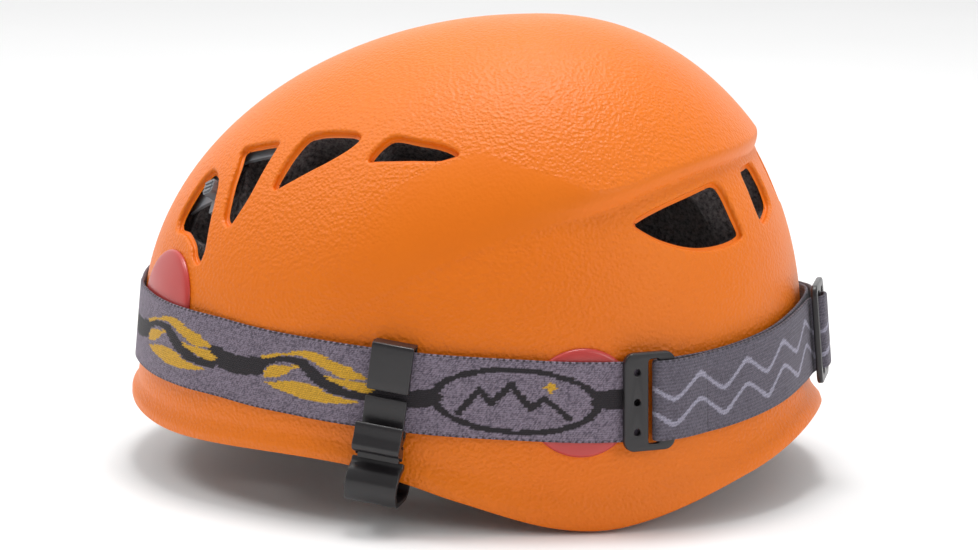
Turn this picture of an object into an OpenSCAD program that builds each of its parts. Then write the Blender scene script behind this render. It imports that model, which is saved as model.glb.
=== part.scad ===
// Climbing helmet with a fitted elastic lamp strap.
// Millimetres. Front of the helmet is -Y, the wearer's left is +X, +Z is up.
// The lowest points of the rim, behind the ears, touch z = 0.

/* [Node] */
// Sub-part to draw, or all of them

/* [Shell] */
// Half width at the belt line
half_width = 112; // [95:130]
// Half length at the belt line
half_length = 135; // [115:150]
// Height of the crown
crown_height = 182.5; // [150:200]
// Height of the belt line, where the wall is widest
belt_height = 55; // [40:70]
// Shell wall
shell_wall = 2.4; // [1.8:0.2:3.2]

/* [Liner] */
// Foam thickness at the crown
foam_crown = 17; // [10:24]
// Foam thickness at its lower edge
foam_edge = 9; // [6:14]

/* [Lamp strap] */
// Height of the elastic strap
strap_height = 31; // [20:40]
// Thickness of the elastic
strap_thick = 1.3; // [0.8:0.1:2]

/* [Fit adjuster] */
// Pitch radius of the knob's pinion
pinion_r = 8; // [6:10]

/* [Hidden] */
eps = 0.01;
belt_n = 2.16;                    // roundness of the plan outline
belt_y = 11;                      // plan centre of the belt line
crown_y = 40;                     // plan position of the crown
seat = [0, -14.9, 1.29];         // puts the middle of the outline over the origin
// Rim height, outward flare and the ledge that crosses the sides and rear,
// each as [angle from the front, value]
rim_keys = [[0, 27], [40, 22], [80, 22], [97, 10], [112, 0.4], [124, 0], [150, 15.5], [180, 27.5]];
flare_keys = [[0, 5.3], [90, 2], [180, 9.6]];
crease_keys = [[0, 92], [60, 90.5], [74.4, 82.5], [85.3, 75], [96.1, 67.9], [107.6, 63.4],
               [120.8, 60.1], [138.6, 55.6], [155.5, 53.6], [180, 53.2]];
rise_keys = [[0, 0], [62, 0], [80, 2.8], [96, 4.6], [108, 5], [130, 5], [155, 5], [180, 4.8]];
span_keys = [[0, 16], [75, 20], [96, 18.8], [102.4, 14.3], [112.4, 8.2], [120, 3.9], [138, 2.6],
             [180, 2.4]];
ledge_eye = [0, 10, 70];

// Vent outlines, each point [angle from the front, angle from the crown]
vent_brow = [[31, 57.8], [36.8, 59.2], [41.2, 63.6], [44.9, 70.2], [45.4, 72.9], [44.5, 74.4],
             [42, 73.4], [39.7, 71.5], [35.5, 70.1], [31, 70], [28.6, 67.9], [28.3, 63.5], [28.6, 59.6]];
vent_temple = [[36.9, 52.6], [41.8, 50.8], [47.8, 49.6], [49.1, 50.8], [50.4, 55.4], [51.2, 60.8],
               [50.3, 65.8], [49.3, 66.5], [46.9, 65.2], [44.5, 61.7], [40.3, 56.2]];
vent_upper = [[55.6, 47.9], [57.4, 46.8], [61.3, 46], [68.1, 45.7], [70.8, 46.8], [69.9, 49],
              [66.9, 51.7], [63.5, 54.1], [59.3, 57.2], [57.2, 58.6], [56, 57.4], [55.6, 54.9],
              [55.2, 50.9]];
vent_side = [[76.2, 48.9], [77.8, 46.6], [80.1, 46.1], [84.8, 46.8], [89.4, 47.6], [92.8, 49.4],
             [90.8, 50.7], [89.4, 51.1], [84.7, 51.2], [78.7, 51.5], [76, 51.4]];
vent_rear = [[128.2, 62.3], [130.5, 60.8], [138, 58.6], [149.3, 56.5], [153.4, 56.4], [155.2, 58.4],
             [156.3, 63.1], [157.1, 66.4], [155.3, 67.6], [148.8, 68.3], [141.4, 68], [134.5, 66.2],
             [129.8, 63.9]];
vent_nape = [[166, 55.6], [171.5, 54.9], [174.8, 55.2], [175.8, 58], [176, 61], [175, 63.6],
             [172, 65], [167, 66], [165.5, 63.8], [165.4, 59.6]];

// Radial layers, outward from the shell's outer face
liner_face = -(shell_wall + 0.8);
disc_face = 0.3;
disc_top = 1.7;

// Vent shutters: each slides on a ball-shaped face under the brow vents
ball_at = [-12, 2, 46];
ball_r = 126.6;
ball_wall = 1.4;
ball_room = 0.6;
shutter_from = [57.5, -83.4, 117.7];
shutter_to = [71.8, -84.2, 98.6];

// Lamp strap stations
buckle_a = 128.2;
clip_a = 87.9;
clip_tilt = 7;
top_keys = [[0, 74.4], [25, 73.9], [38, 73], [55, 72.3], [64, 71], [80, 69.2], [92, 67.4],
            [106, 66.1], [116, 64.9], [125, 64.4], [133, 64.7], [142, 65.6], [152, 67.5],
            [160, 69.3], [170, 72], [180, 73.2]];
lift_keys = [[0, 0.75], [15, 0.75], [23, 2.2], [47, 2.2], [56, 0.6], [72, 0.6], [79, 2.55], [97, 2.55],
             [102, 2.2], [180, 2.2]];
lamp_disc_r = 21;
lamp_disc_front = [35.3, 71];
lamp_disc_rear = [117, 48.7];

// Fit adjuster
knob_at = [0, 116.5, 24];
tooth_module = 2;
tooth_count = 2 * pinion_r / tooth_module;
tooth_play = 0.4;
pressure = 25;
rack_thick = 3;
band_thick = 1.8;

// ---------- helper functions ----------

function ramp(t) = let (u = min(max(t, 0), 1)) u * u * (3 - 2 * u);
function spow(v, p) = sign(v) * pow(abs(v), p);
function fold(a) = abs(a - 360 * floor((a + 180) / 360));
function seg(x, k, i = 0) = (i >= len(k) - 2 || x < k[i + 1][0]) ? i : seg(x, k, i + 1);
function slope(k, i) = (i == 0 || i == len(k) - 1) ? 0
    : (k[i + 1][1] - k[i - 1][1]) / (k[i + 1][0] - k[i - 1][0]);
// Smooth curve through a list of [position, value]
function curve(x, k) =
    let (i = seg(x, k), h = k[i + 1][0] - k[i][0], t = min(max((x - k[i][0]) / h, 0), 1))
    (2 * t * t * t - 3 * t * t + 1) * k[i][1] + (t * t * t - 2 * t * t + t) * slope(k, i) * h
    + (3 * t * t - 2 * t * t * t) * k[i + 1][1] + (t * t * t - t * t) * slope(k, i + 1) * h;

function unit(v) = v / norm(v);
function rim_z(a) = curve(fold(a), rim_keys);
function ledge(a, v) =
    let (c = curve(fold(a), crease_keys), t = min(max((c - v) / curve(fold(a), span_keys), 0), 1))
    curve(fold(a), rise_keys) * (0.25 * t + 0.75 * t * (2 - t)) * pow(min(max(v / c, 0), 1), 1.2);

// Outer face of the shell: a is the angle from the front, v the angle from the crown;
// v runs from 90 at the belt line to 100 at the rim
function face(a, v) =
    let (bx = half_width * spow(sin(a), 2 / belt_n),
         by = -half_length * spow(cos(a), 2 / belt_n),
         vd = min(max(v, 0.3), 90),
         k = min(max((v - 90) / 10, 0), 1.2),
         f = 1 + curve(fold(a), flare_keys) * k * k / norm([bx, by]),
         p = v > 90
             ? [bx * f, belt_y + by * f, belt_height + (rim_z(a) - belt_height) * k]
             : [bx * sin(vd), crown_y + (belt_y - crown_y + by) * sin(vd),
                belt_height + (crown_height - belt_height) * cos(vd)])
    p + unit(p - ledge_eye) * ledge(a, v);

function face_normal(a, v) =
    let (u = max(v, 1))
    unit(cross(face(a + 0.5, u) - face(a - 0.5, u), face(a, u - 0.3) - face(a, u + 0.3)));
// A point off mm outward of the shell's outer face
function skin(a, v, off) = off == 0 ? face(a, v) : face(a, v) + face_normal(a, v) * off;
// The same by height instead of crown angle
function crown_angle(a, z) = z >= belt_height
    ? acos((z - belt_height) / (crown_height - belt_height))
    : 90 + 10 * (belt_height - z) / (belt_height - rim_z(a));
function wall(a, z, off) = skin(a, crown_angle(a, z), off);

function steps(lo, hi, n) = [for (i = [0:n]) lo + (hi - lo) * i / n];
function mean(pts) = [for (k = [0:2]) [for (p = pts) p[k]] * [for (p = pts) 1] / len(pts)];

// Rounded closed outline through the given corners
function rounded(poly, per) = [for (i = [0:len(poly) - 1]) let (n = len(poly),
    p0 = poly[(i + n - 1) % n], p1 = poly[i], p2 = poly[(i + 1) % n], p3 = poly[(i + 2) % n])
    for (s = [0:per - 1]) let (t = s / per)
    0.5 * (2 * p1 + (p2 - p0) * t + (2 * p0 - 5 * p1 + 4 * p2 - p3) * t * t
           + (3 * p1 - p0 - 3 * p2 + p3) * t * t * t)];
// The outline grown by g millimetres, roughly, on the shell's face
function grown(poly, g) = let (c = [for (k = [0:1]) [for (p = poly) p[k]] * [for (p = poly) 1]
    / len(poly)], s = [2.1 * sin(c[1]), 2.2])
    [for (p = poly) let (d = [(p[0] - c[0]) * s[0], (p[1] - c[1]) * s[1]])
     p + [d[0] / s[0], d[1] / s[1]] * g / norm(d)];

// ---------- helper modules ----------

// Solid through a list of rings. Each ring lists the outer side first, then the inner
// side backwards, so the ends can be closed by matching points across
module loft(rings, closed = false) {
    n = len(rings);
    m = len(rings[0]);
    pts = [for (r = rings) for (p = r) p];
    sides = [for (i = [0:closed ? n - 1 : n - 2]) for (j = [0:m - 1])
        let (a = i * m + j, b = i * m + (j + 1) % m, c = ((i + 1) % n) * m + (j + 1) % m,
             d = ((i + 1) % n) * m + j) each [[a, c, b], [a, d, c]]];
    first = [for (k = [0:m / 2 - 2]) each [[k, k + 1, m - 1 - k], [m - 1 - k, k + 1, m - 2 - k]]];
    o = (n - 1) * m;
    last = [for (k = [0:m / 2 - 2])
        each [[o + k, o + m - 1 - k, o + k + 1], [o + m - 1 - k, o + m - 2 - k, o + k + 1]]];
    polyhedron(pts, closed ? sides : concat(sides, first, last), convexity = 8);
}

// Solid between two poles, through rings that each go once around
module shroud(top, rings, bottom) {
    n = len(rings);
    m = len(rings[0]);
    pts = concat([top], [for (r = rings) for (p = r) p], [bottom]);
    e = n * m + 1;
    cap_a = [for (j = [0:m - 1]) [0, 1 + (j + 1) % m, 1 + j]];
    sides = [for (i = [0:n - 2]) for (j = [0:m - 1])
        let (a = 1 + i * m + j, b = 1 + i * m + (j + 1) % m) each [[a, b, a + m], [b, b + m, a + m]]];
    cap_b = [for (j = [0:m - 1]) [e, 1 + (n - 1) * m + j, 1 + (n - 1) * m + (j + 1) % m]];
    polyhedron(pts, concat(cap_a, sides, cap_b), convexity = 10);
}

// Plug with the given vent outline, from one layer to another
module vent_plug(poly, g, off_out, off_in) {
    line = grown(rounded(poly, 3), g);
    outer = [for (p = line) skin(p[0], p[1], off_out)];
    inner = [for (p = line) skin(p[0], p[1], off_in)];
    shroud(mean(inner), [inner, outer], mean(outer));
}

// Elastic band through a list of [angle, layer of its middle]; flat across its height
module band(path, thick, inset) {
    n = len(path) - 1;
    loft([for (i = [0:n]) let (a = path[i][0], p = path[max(i - 1, 0)], q = path[min(i + 1, n)],
        d = unit([(q[0] - p[0]) * 2.1, q[1] - p[1]]), s = [-d[1], d[0]] * thick / 2)
        concat([for (t = [inset, 1 - inset]) across(a - s[0] / 2.1, path[i][1] - s[1], t)],
               [for (t = [1 - inset, inset]) across(a + s[0] / 2.1, path[i][1] + s[1], t)])]);
}
function strap_top(a) = curve(fold(a), top_keys);
// Point on the strap, t of the way up from its lower edge
function across(a, off, t) =
    wall(a, strap_top(a) - strap_height, off) * (1 - t) + wall(a, strap_top(a), off) * t;
function lift(a) = curve(fold(a), lift_keys) + strap_thick / 2;

// Children lying on the strap: +Z outward, +X towards the rear, +Y up
module on_strap(a, off) {
    p = across(a, off, 0.5);
    y = unit(across(a, off, 1) - across(a, off, 0));
    x = unit(cross(y, face_normal(a, 90)));
    n = cross(x, y);
    multmatrix([[x[0], y[0], n[0], p[0]], [x[1], y[1], n[1], p[1]], [x[2], y[2], n[2], p[2]]])
        children();
}

// Webbing through a list of [a, v, layer] points, its width across the run
module webbing(path, width, thick, n = 2) {
    m = len(path) - 1;
    loft([for (i = [0:m]) let (p = path[max(i - 1, 0)], q = path[min(i + 1, m)], c = path[i],
        t = unit(skin(q[0], q[1], q[2]) - skin(p[0], p[1], p[2])),
        h = unit(cross([0, 0, 1], face_normal(c[0], c[1]))), s = unit(h - t * (h * t)),
        d = cross(t, s), o = skin(c[0], c[1], c[2]))
        concat([for (k = steps(1, -1, n)) o + d * thick / 2 + s * k * width / 2],
               [for (k = steps(-1, 1, n)) o - d * thick / 2 + s * k * width / 2])]);
}
function along(path, per) = concat([for (i = [0:len(path) - 2]) for (s = [0:per - 1])
    let (t = s / per, p0 = path[max(i - 1, 0)], p1 = path[i], p2 = path[i + 1],
         p3 = path[min(i + 2, len(path) - 1)])
    0.5 * (2 * p1 + (p2 - p0) * t + (2 * p0 - 5 * p1 + 4 * p2 - p3) * t * t
           + (3 * p1 - p0 - 3 * p2 + p3) * t * t * t)], [path[len(path) - 1]]);

// Children with +Z outward, +X towards the rear and +Y up, standing on the shell's face
module on_face(a, v, off = 0) {
    n = face_normal(a, v);
    x = unit(cross([0, 0, 1], n));
    y = cross(n, x);
    p = skin(a, v, off);
    multmatrix([[x[0], y[0], n[0], p[0]], [x[1], y[1], n[1], p[1]], [x[2], y[2], n[2], p[2]]])
        children();
}
module seated() {
    translate(seat) children();
}
module both() {
    children();
    mirror([1, 0, 0]) children();
}
module side(right) {
    if (right) mirror([1, 0, 0]) children();
    else children();
}
module round_rect(w, h, r) {
    offset(r, $fn = 24) square([w - 2 * r, h - 2 * r], center = true);
}

// ---------- shell and liner ----------

ring_a = [for (i = [0:59]) i * 6];
shell_v = [4, 12, 21, 30, 38, 46, 51, 55, 58, 61, 64, 67, 71, 75, 80, 85, 90, 92.5, 95, 97.5];
inner_v = [4, 14, 24, 34, 43, 50, 55, 58.5, 62, 66, 71, 77, 84, 90, 95];

module shell_blank() {
    rows_out = [for (v = shell_v) [for (a = ring_a) face(a, v)]];
    lip = [[98.6, 0.9], [99.5, 0.9], [100, 0], [100, -shell_wall], [99, -shell_wall]];
    rows_lip = [for (l = lip) [for (a = ring_a) skin(a, l[0], l[1])]];
    rows_in = [for (i = [len(inner_v) - 1:-1:0]) [for (a = ring_a) skin(a, inner_v[i], -shell_wall)]];
    shroud([0, crown_y, crown_height], concat(rows_out, rows_lip, rows_in),
           [0, crown_y, crown_height - shell_wall]);
}

all_vents = [vent_brow, vent_temple, vent_upper, vent_side, vent_rear, vent_nape];

module outer_shell() color([0.86, 0.33, 0.16]) difference() {
    shell_blank();
    both() for (p = all_vents) vent_plug(p, 0, 11, -8);
}

function foam(v) = liner_face - foam_edge - (foam_crown - foam_edge) * ramp((90 - v) / 70);
liner_v = [4, 14, 24, 34, 43, 50, 55, 58.5, 62, 66, 71, 77, 84, 88];
hollow_v = [4, 16, 28, 40, 52, 64, 76, 88];
ring_l = [for (i = [0:44]) i * 8];

module foam_liner() color([0.36, 0.37, 0.39]) difference() {
    shroud([0, crown_y, crown_height + liner_face],
        concat([for (v = liner_v) [for (a = ring_l) skin(a, v, liner_face)]],
               [[for (a = ring_l) skin(a, 89.5, liner_face - foam_edge / 2)]],
               [for (i = [len(hollow_v) - 1:-1:0])
                   [for (a = ring_l) skin(a, hollow_v[i], foam(hollow_v[i]))]]),
        [0, crown_y, crown_height + foam(4)]);
    both() {
        for (p = all_vents) vent_plug(p, 0.8, 9, -40);
        shutter_sweep();
    }
}

// ---------- vent shutters ----------

shutter_u = unit(shutter_from - ball_at);
shutter_axis = unit(cross(shutter_u, unit(shutter_to - ball_at)));
shutter_t = cross(shutter_axis, shutter_u);

// Children with +Z on the ball's radius at the tab, +X along the travel
module at_ball() {
    x = shutter_t;
    z = shutter_u;
    y = cross(z, x);
    multmatrix([[x[0], y[0], z[0], ball_at[0]], [x[1], y[1], z[1], ball_at[1]],
                [x[2], y[2], z[2], ball_at[2]]]) children();
}
function ball(r, lat, turn) = r * [cos(lat) * sin(turn), sin(lat), cos(lat) * cos(turn)];

// Plate on the ball from turn t0 to t1, with the width of the shutter
module ball_plate(r_out, r_in, lat0, lat1, t0, t1, nl = 8, nt = 6) at_ball()
    loft([for (t = steps(t1, t0, nt))
        concat([for (l = steps(lat0, lat1, nl)) ball(r_out, l, t)],
               [for (l = steps(lat1, lat0, nl)) ball(r_in, l, t)])]);

// Room for the plates through the whole travel
module shutter_sweep() {
    ball_plate(ball_r + 12, ball_r - ball_wall - ball_room, -10.8, 17.3, -14.8, 16);
}

module vent_shutter(right) color([0.50, 0.51, 0.53]) side(right) {
    ball_plate(ball_r, ball_r - ball_wall, -9.6, 16, -13.4, -4.7);
    ball_plate(ball_r, ball_r - ball_wall, -9.6, 4.6, -4.9, 1.9, 5, 3);
    ball_plate(ball_r, ball_r - ball_wall, -1.2, 0.6, 1.7, 4.4, 2, 2);
    at_ball() rotate([-0.1, 0.4, 0]) translate([0, 0, ball_r - 0.6]) {
        linear_extrude(5.4) round_rect(6.4, 6.4, 1.6);
        translate([0, 0, 5]) for (s = [-1.8, 0, 1.8]) translate([s, 0, 0])
            linear_extrude(1) round_rect(0.9, 5, 0.4);
    }
}

// ---------- lamp strap and its hardware ----------

function arc_len(a) = norm(face(a + 1, 90) - face(a - 1, 90)) / 2;
function spot(at, r, t, off) =
    wall(at[0] + r * cos(t) / arc_len(at[0]), at[1] + r * sin(t), off);
function dome_off(r) = disc_face + (disc_top - disc_face) * (1 - pow(r / lamp_disc_r, 6) * 0.6);
module lamp_clip(at, right) color([0.80, 0.30, 0.26, 0.7]) side(right) {
    turns = [for (i = [0:27]) i * 360 / 28];
    radii = [9, 16, 19.6, lamp_disc_r];
    shroud(wall(at[0], at[1], disc_top),
        concat([for (r = radii) [for (t = turns) spot(at, r, t, dome_off(r))]],
               [for (i = [len(radii) - 1:-1:0]) [for (t = turns) spot(at, radii[i], t, disc_face)]]),
        wall(at[0], at[1], disc_face));
}

strap_a = concat([for (a = [4:4:116]) [a, lift(a)]], [[119, 2.9], [122, 2.9], [125, 2.9], [127.3, 2.9]]);

// Its ends are held under the front bars of the two side buckles
module lamp_strap_front() color([0.45, 0.40, 0.48]) {
    mirrored = [for (i = [len(strap_a) - 1:-1:0]) [-strap_a[i][0], strap_a[i][1]]];
    band(concat(mirrored, [[0, lift(0)]], strap_a), strap_thick, 0);
}

// The rear strap turns around each buckle's rear bar and meets its own outer layer
rear_wrap = [[139.5, 5.3], [136.7, 6.7], [133.8, 7.8], [131.5, 7.8], [130.2, 7.4], [129.5, 6.5],
             [129.25, 5], [129.35, 3.9], [129.9, 3.1], [131.2, 2.85], [133.5, 2.85], [137, 2.85]];

module lamp_strap_rear() color([0.33, 0.34, 0.37]) {
    under = [for (a = [140:4:220]) [a, lift(a)]];
    mirrored = [for (i = [len(rear_wrap) - 1:-1:0]) [360 - rear_wrap[i][0], rear_wrap[i][1]]];
    band(concat(rear_wrap, under, mirrored), strap_thick, 0);
}

// The outer layer: from the wraps to the slider and over its middle bar
module lamp_strap_tail() color([0.33, 0.34, 0.37]) {
    run = [for (a = [142:4:170]) [a, lift(a) + 2.2]];
    loop = [[174, 5.2], [176.4, 5.5], [177.6, 6.4], [178, 7.6], [178.05, 9.2], [178.4, 10.6],
            [179.3, 11.2], [180, 11.3], [180.7, 11.2], [181.6, 10.6], [181.95, 9.2], [182, 7.6],
            [182.4, 6.4], [183.6, 5.5], [186, 5.2]];
    run2 = [for (a = [190:4:218]) [a, lift(a) + 2.2]];
    band(concat([[139.6, 5.3]], run, loop, run2, [[220.4, 5.3]]), strap_thick, 0);
}

module buckle_frame() difference() {
    linear_extrude(2.6) difference() {
        round_rect(20.8, 38, 4.2);
        translate([1.6, 0]) round_rect(4.4, 32.6, 1.2);
        for (y = [-11.5, 0, 11.5]) translate([-5.2, y]) circle(1.15, $fn = 24);
    }
    for (y = [-11.5, 0, 11.5]) translate([-5.2, y, 1.9]) cylinder(h = 1, r = 2, $fn = 24);
}

module strap_buckle(right) color([0.05, 0.05, 0.055]) side(right)
    on_strap(buckle_a, 3.7) buckle_frame();

module strap_slider() color([0.05, 0.05, 0.055])
    on_strap(180, 7.1) linear_extrude(2.4) difference() {
        round_rect(24, 40, 4);
        for (s = [-1, 1]) translate([s * 5.2, 0]) round_rect(5.6, 33.6, 1.6);
    }

// Side profile of the clip: up from the free lip over the strap, down behind it, out to the
// thumb tab and under the rim. Each point is [outward from the shell, height]
clip_line = [[4.6, 53.8], [6.6, 53.8], [6.4, 69.4], [5.4, 71.1], [0.4, 71.3], [-0.4, 70.3],
    [0.3, 62], [0.45, 55], [0.55, 48], [0.8, 42], [1.0, 37.2], [1.2, 34.6], [3.4, 32.6], [5.2, 29],
    [5.4, 23.4], [7.6, 22.4], [10.4, 21], [12.2, 18.4], [12.3, 15.2], [10.6, 12.5], [7.6, 11.1],
    [-2.6, 10.9], [-5.6, 12.4], [-6.5, 15.4], [-6.5, 19.4], [-7.4, 20.3], [-8.4, 19.6],
    [-8.5, 14.6], [-7.0, 10.9], [-3.4, 8.9], [8.4, 9.0], [12.4, 10.8], [14.4, 14.6], [14.3, 19],
    [12.2, 22.6], [8.6, 24.6], [7.6, 26.4], [8.2, 28.4], [11.6, 29.4], [14.0, 30.8], [14.6, 32.8],
    [13.4, 36], [12.8, 40.4], [12.0, 41.2], [11.1, 40.6], [11.2, 36], [11.0, 33.6], [9.0, 32.6],
    [7.1, 33.8], [6.9, 49.2], [6.2, 50], [5.2, 49.4], [5.1, 36], [2.7, 35.5], [2.0, 42],
    [1.7, 48], [1.6, 55], [1.45, 62], [1.0, 69.9], [4.5, 69.9]];

// Children on the clip's own frame: +X outward, +Y up, +Z across the clip
module at_clip() {
    p = face(clip_a, 90);
    n = face_normal(clip_a, 90);
    translate([p[0], p[1], 0]) rotate([0, 0, atan2(n[1], n[0])]) rotate([90, 0, 0])
        translate([0, 53, 0]) rotate([-clip_tilt, 0, 0]) translate([0, -53, 0]) children();
}

module rim_clip(right) color([0.045, 0.045, 0.05]) side(right) at_clip() intersection() {
    translate([0, 0, -11]) linear_extrude(22) polygon(clip_line);
    union() {
        translate([-20, 0, -10.2]) cube([60, 26.5, 20.4]);
        translate([7.3, 26, -9.3]) cube([20, 20, 18.6]);
        translate([-20, 26, -8.2]) cube([27.5, 50, 16.4]);
    }
}

// ---------- headband and fit adjuster ----------

// Ring segment inside the helmet, at a fixed distance from the wall
module inner_band(a0, a1, na, z0, z1, off_out, off_in)
    loft([for (a = steps(a1, a0, na)) let (p = face(a, 90), n = face_normal(a, 90),
        o = p + n * off_out, i = p + n * off_in, zm = (z0 + z1) / 2)
        [[o[0], o[1], z0], [o[0], o[1], zm], [o[0], o[1], z1], [i[0], i[1], z1],
         [i[0], i[1], zm], [i[0], i[1], z0]]]);

module headband_front() color([0.10, 0.10, 0.11]) difference() {
    inner_band(-98, 98, 42, 33, 51, -19.4, -21.4);
    both() for (a = [12, 52, 66]) on_face(a, 90, -26) translate([0, -13, 0])
        linear_extrude(12) round_rect(9, 5, 2);
}

module brow_pad() color([0.16, 0.16, 0.17])
    inner_band(-46, 46, 22, 34.5, 49.5, -21.7, -27.2);

module headband_anchors() color([0.08, 0.08, 0.09]) both() for (a = [24, 82])
    on_face(a, 90, -19) translate([0, -12.4, 0]) cylinder(h = 16, r = 3.4, $fn = 28);

// Pad on the foam between two angles around and two angles down from the crown
module foam_pad(a0, a1, v0, v1, off_out, off_in)
    loft([for (v = steps(v1, v0, 6))
        concat([for (a = steps(a0, a1, 7)) skin(a, v, off_out)],
               [for (a = steps(a1, a0, 7)) skin(a, v, off_in)])]);

module crown_pad(front) color([0.16, 0.16, 0.17])
    if (front) foam_pad(-26, 26, 15, 40, -21.2, -26);
    else foam_pad(150, 210, 15, 36, -21.2, -26);

function arm_point(t) = let (s = 1 - t)
    s * s * s * [46, 116.5] + 3 * s * s * t * [80, 115] + 3 * s * t * t * [87, 72] + t * t * t * [86.5, 16];
function arm_dir(t) = unit(arm_point(t + 0.01) - arm_point(t - 0.01));

module rack_teeth(length) {
    pitch = PI * tooth_module;
    half = pitch / 4 - tooth_play / 2;
    add = 0.6 * tooth_module;
    ded = 0.9 * tooth_module;
    for (i = [0:floor(length / pitch)]) translate([i * pitch, 0])
        polygon([[-half - ded * tan(pressure), -ded - eps], [half + ded * tan(pressure), -ded - eps],
                 [half - add * tan(pressure), add], [-half + add * tan(pressure), add]]);
}

// A band: its toothed end lies under the pinion, its arm runs forward past the ear
module rack_band() {
    pitch = PI * tooth_module;
    root = -0.9 * tooth_module;
    translate([0, knob_at[1] + rack_thick / 2, knob_at[2] - pinion_r]) rotate([90, 0, 0])
        linear_extrude(rack_thick) {
            translate([-1.5 * pitch, 0]) rack_teeth(5 * pitch);
            translate([-14, -5.8]) square([66, 5.8 + root]);
            translate([45.5, -5.8]) square([6.5, 22.8]);
        }
    loft([for (t = steps(0.02, 1, 20)) let (p = arm_point(t), d = arm_dir(t),
        s = [d[1], -d[0]] * band_thick / 2, hi = 32 - 3 * ramp((t - 0.8) / 0.2),
        lo = 16.4 + 2 * ramp((t - 0.8) / 0.2), mid = (lo + hi) / 2)
        [[p[0] - s[0], p[1] - s[1], lo], [p[0] - s[0], p[1] - s[1], mid],
         [p[0] - s[0], p[1] - s[1], hi], [p[0] + s[0], p[1] + s[1], hi],
         [p[0] + s[0], p[1] + s[1], mid], [p[0] + s[0], p[1] + s[1], lo]]]);
}

module rack_band_left() color([0.11, 0.11, 0.12]) rack_band();
// The right band is the left one turned half round about the knob's axis
module rack_band_right() color([0.11, 0.11, 0.12])
    translate(knob_at) rotate([0, 180, 0]) translate(-knob_at) rack_band();

// Half of one tooth flank, as [radius, half angle]
function involute_turn(r) = let (b = pinion_r * cos(pressure))
    r <= b ? 0 : sqrt(r * r / (b * b) - 1) * 180 / PI - acos(b / r);
function flank_half(r) = 90 / tooth_count - (tooth_play / 2) / pinion_r * 180 / PI
    + involute_turn(pinion_r) - involute_turn(r);

module knob_pinion() color([0.30, 0.30, 0.32]) {
    root = pinion_r - 0.9 * tooth_module - 0.1;
    tip = pinion_r + 0.6 * tooth_module;
    rs = concat([root - 0.5], steps(pinion_r * cos(pressure), tip, 5));
    translate([0, knob_at[1] + 1.5, knob_at[2]]) rotate([90, 0, 0]) linear_extrude(3) {
        circle(root, $fn = 48);
        for (i = [0:tooth_count - 1]) rotate(i * 360 / tooth_count + 90) polygon(concat(
            [for (r = rs) r * [cos(flank_half(r)), sin(flank_half(r))]],
            [for (k = [len(rs) - 1:-1:0]) rs[k] * [cos(flank_half(rs[k])), -sin(flank_half(rs[k]))]]));
    }
    translate([0, knob_at[1] + 1.4, knob_at[2]]) rotate([-90, 0, 0]) cylinder(h = 4.7, r = 4, $fn = 40);
}

module adjust_knob() color([0.07, 0.07, 0.075])
    translate([0, knob_at[1] + 6.3, knob_at[2]]) rotate([-90, 0, 0]) difference() {
        cylinder(h = 9.6, r = 14.8, $fn = 72);
        for (i = [0:15]) rotate(i * 22.5) translate([16.2, 0, -1]) cylinder(h = 12, r = 2.4, $fn = 24);
        translate([0, 0, 8.6]) cylinder(h = 2, r = 9.5, $fn = 56);
        translate([0, 0, -1]) cylinder(h = 1.5, r = 9.8, $fn = 48);
    }

housing_w = 78;
housing_h = 37;

module cradle_housing() color([0.09, 0.09, 0.10])
    translate([0, knob_at[1], knob_at[2]]) rotate([-90, 0, 0]) difference() {
        translate([0, 0, -2.2]) linear_extrude(7.8) round_rect(housing_w, housing_h, 9);
        // channel for the two racks
        translate([-50, -14.6, -5]) cube([100, 29.2, 6.9]);
        translate([0, 0, 1]) cylinder(h = 12, r = 4.06, $fn = 40);
    }

module cradle_cover() color([0.12, 0.12, 0.13])
    translate([0, knob_at[1], knob_at[2]]) rotate([-90, 0, 0]) difference() {
        translate([0, 0, -4.4]) linear_extrude(2) round_rect(housing_w, housing_h, 9);
        for (s = [-1, 1]) translate([s * 26, 0, -6]) linear_extrude(6) round_rect(12, 5, 2.2);
    }

module nape_pad() color([0.16, 0.16, 0.17])
    translate([0, knob_at[1] - 4.7, knob_at[2]]) rotate([90, 0, 0]) difference() {
        linear_extrude(5, scale = [0.9, 0.86]) round_rect(housing_w - 6, housing_h - 4, 9);
        for (s = [-1, 1]) translate([s * 26, 0, -1]) linear_extrude(8) round_rect(10, 12, 2.4);
    }

// ---------- chin strap, stowed inside ----------

web_w = 15;
web_t = 1.5;
web_off = -23.8;
module chin_web(right) color([0.06, 0.06, 0.065]) side(right) {
    webbing(along([[68, 93.5, -4.8], [68, 97.2, -6], [68, 98.6, -12], [68.5, 98.2, -20],
        [69, 97.2, web_off], [70.5, 93.5, web_off], [76, 87, web_off], [83, 79, web_off],
        [88, 73, web_off]], 3), web_w, web_t);
    webbing(along([[116, 93.8, -4.8], [116, 92.3, -6.5], [116, 91.6, -13], [115.5, 90.8, -20],
        [114, 88.6, web_off], [108, 85, web_off], [101, 78, web_off], [97, 73, web_off]], 3), web_w, web_t);
}
module strap_divider(right) color([0.05, 0.05, 0.055]) side(right)
    on_face(92.5, 69, -31) linear_extrude(4) difference() {
        round_rect(30, 22, 5);
        translate([0, 6]) round_rect(17, 3, 1.2);
        for (s = [-1, 1]) translate([s * 7.5, -4.5]) rotate(s * -25) round_rect(10, 3, 1.2);
    }
module chin_web_upper(right) color([0.06, 0.06, 0.065]) side(right)
    webbing(along([[92, 66, web_off], [92, 55, web_off], [92, 42, web_off]], 4), web_w, web_t);
module chin_socket() color([0.05, 0.05, 0.055])
    on_face(92, 37, -34) linear_extrude(7) difference() {
        round_rect(24, 30, 4);
        translate([0, 12]) round_rect(17, 3, 1.2);
    }
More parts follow.
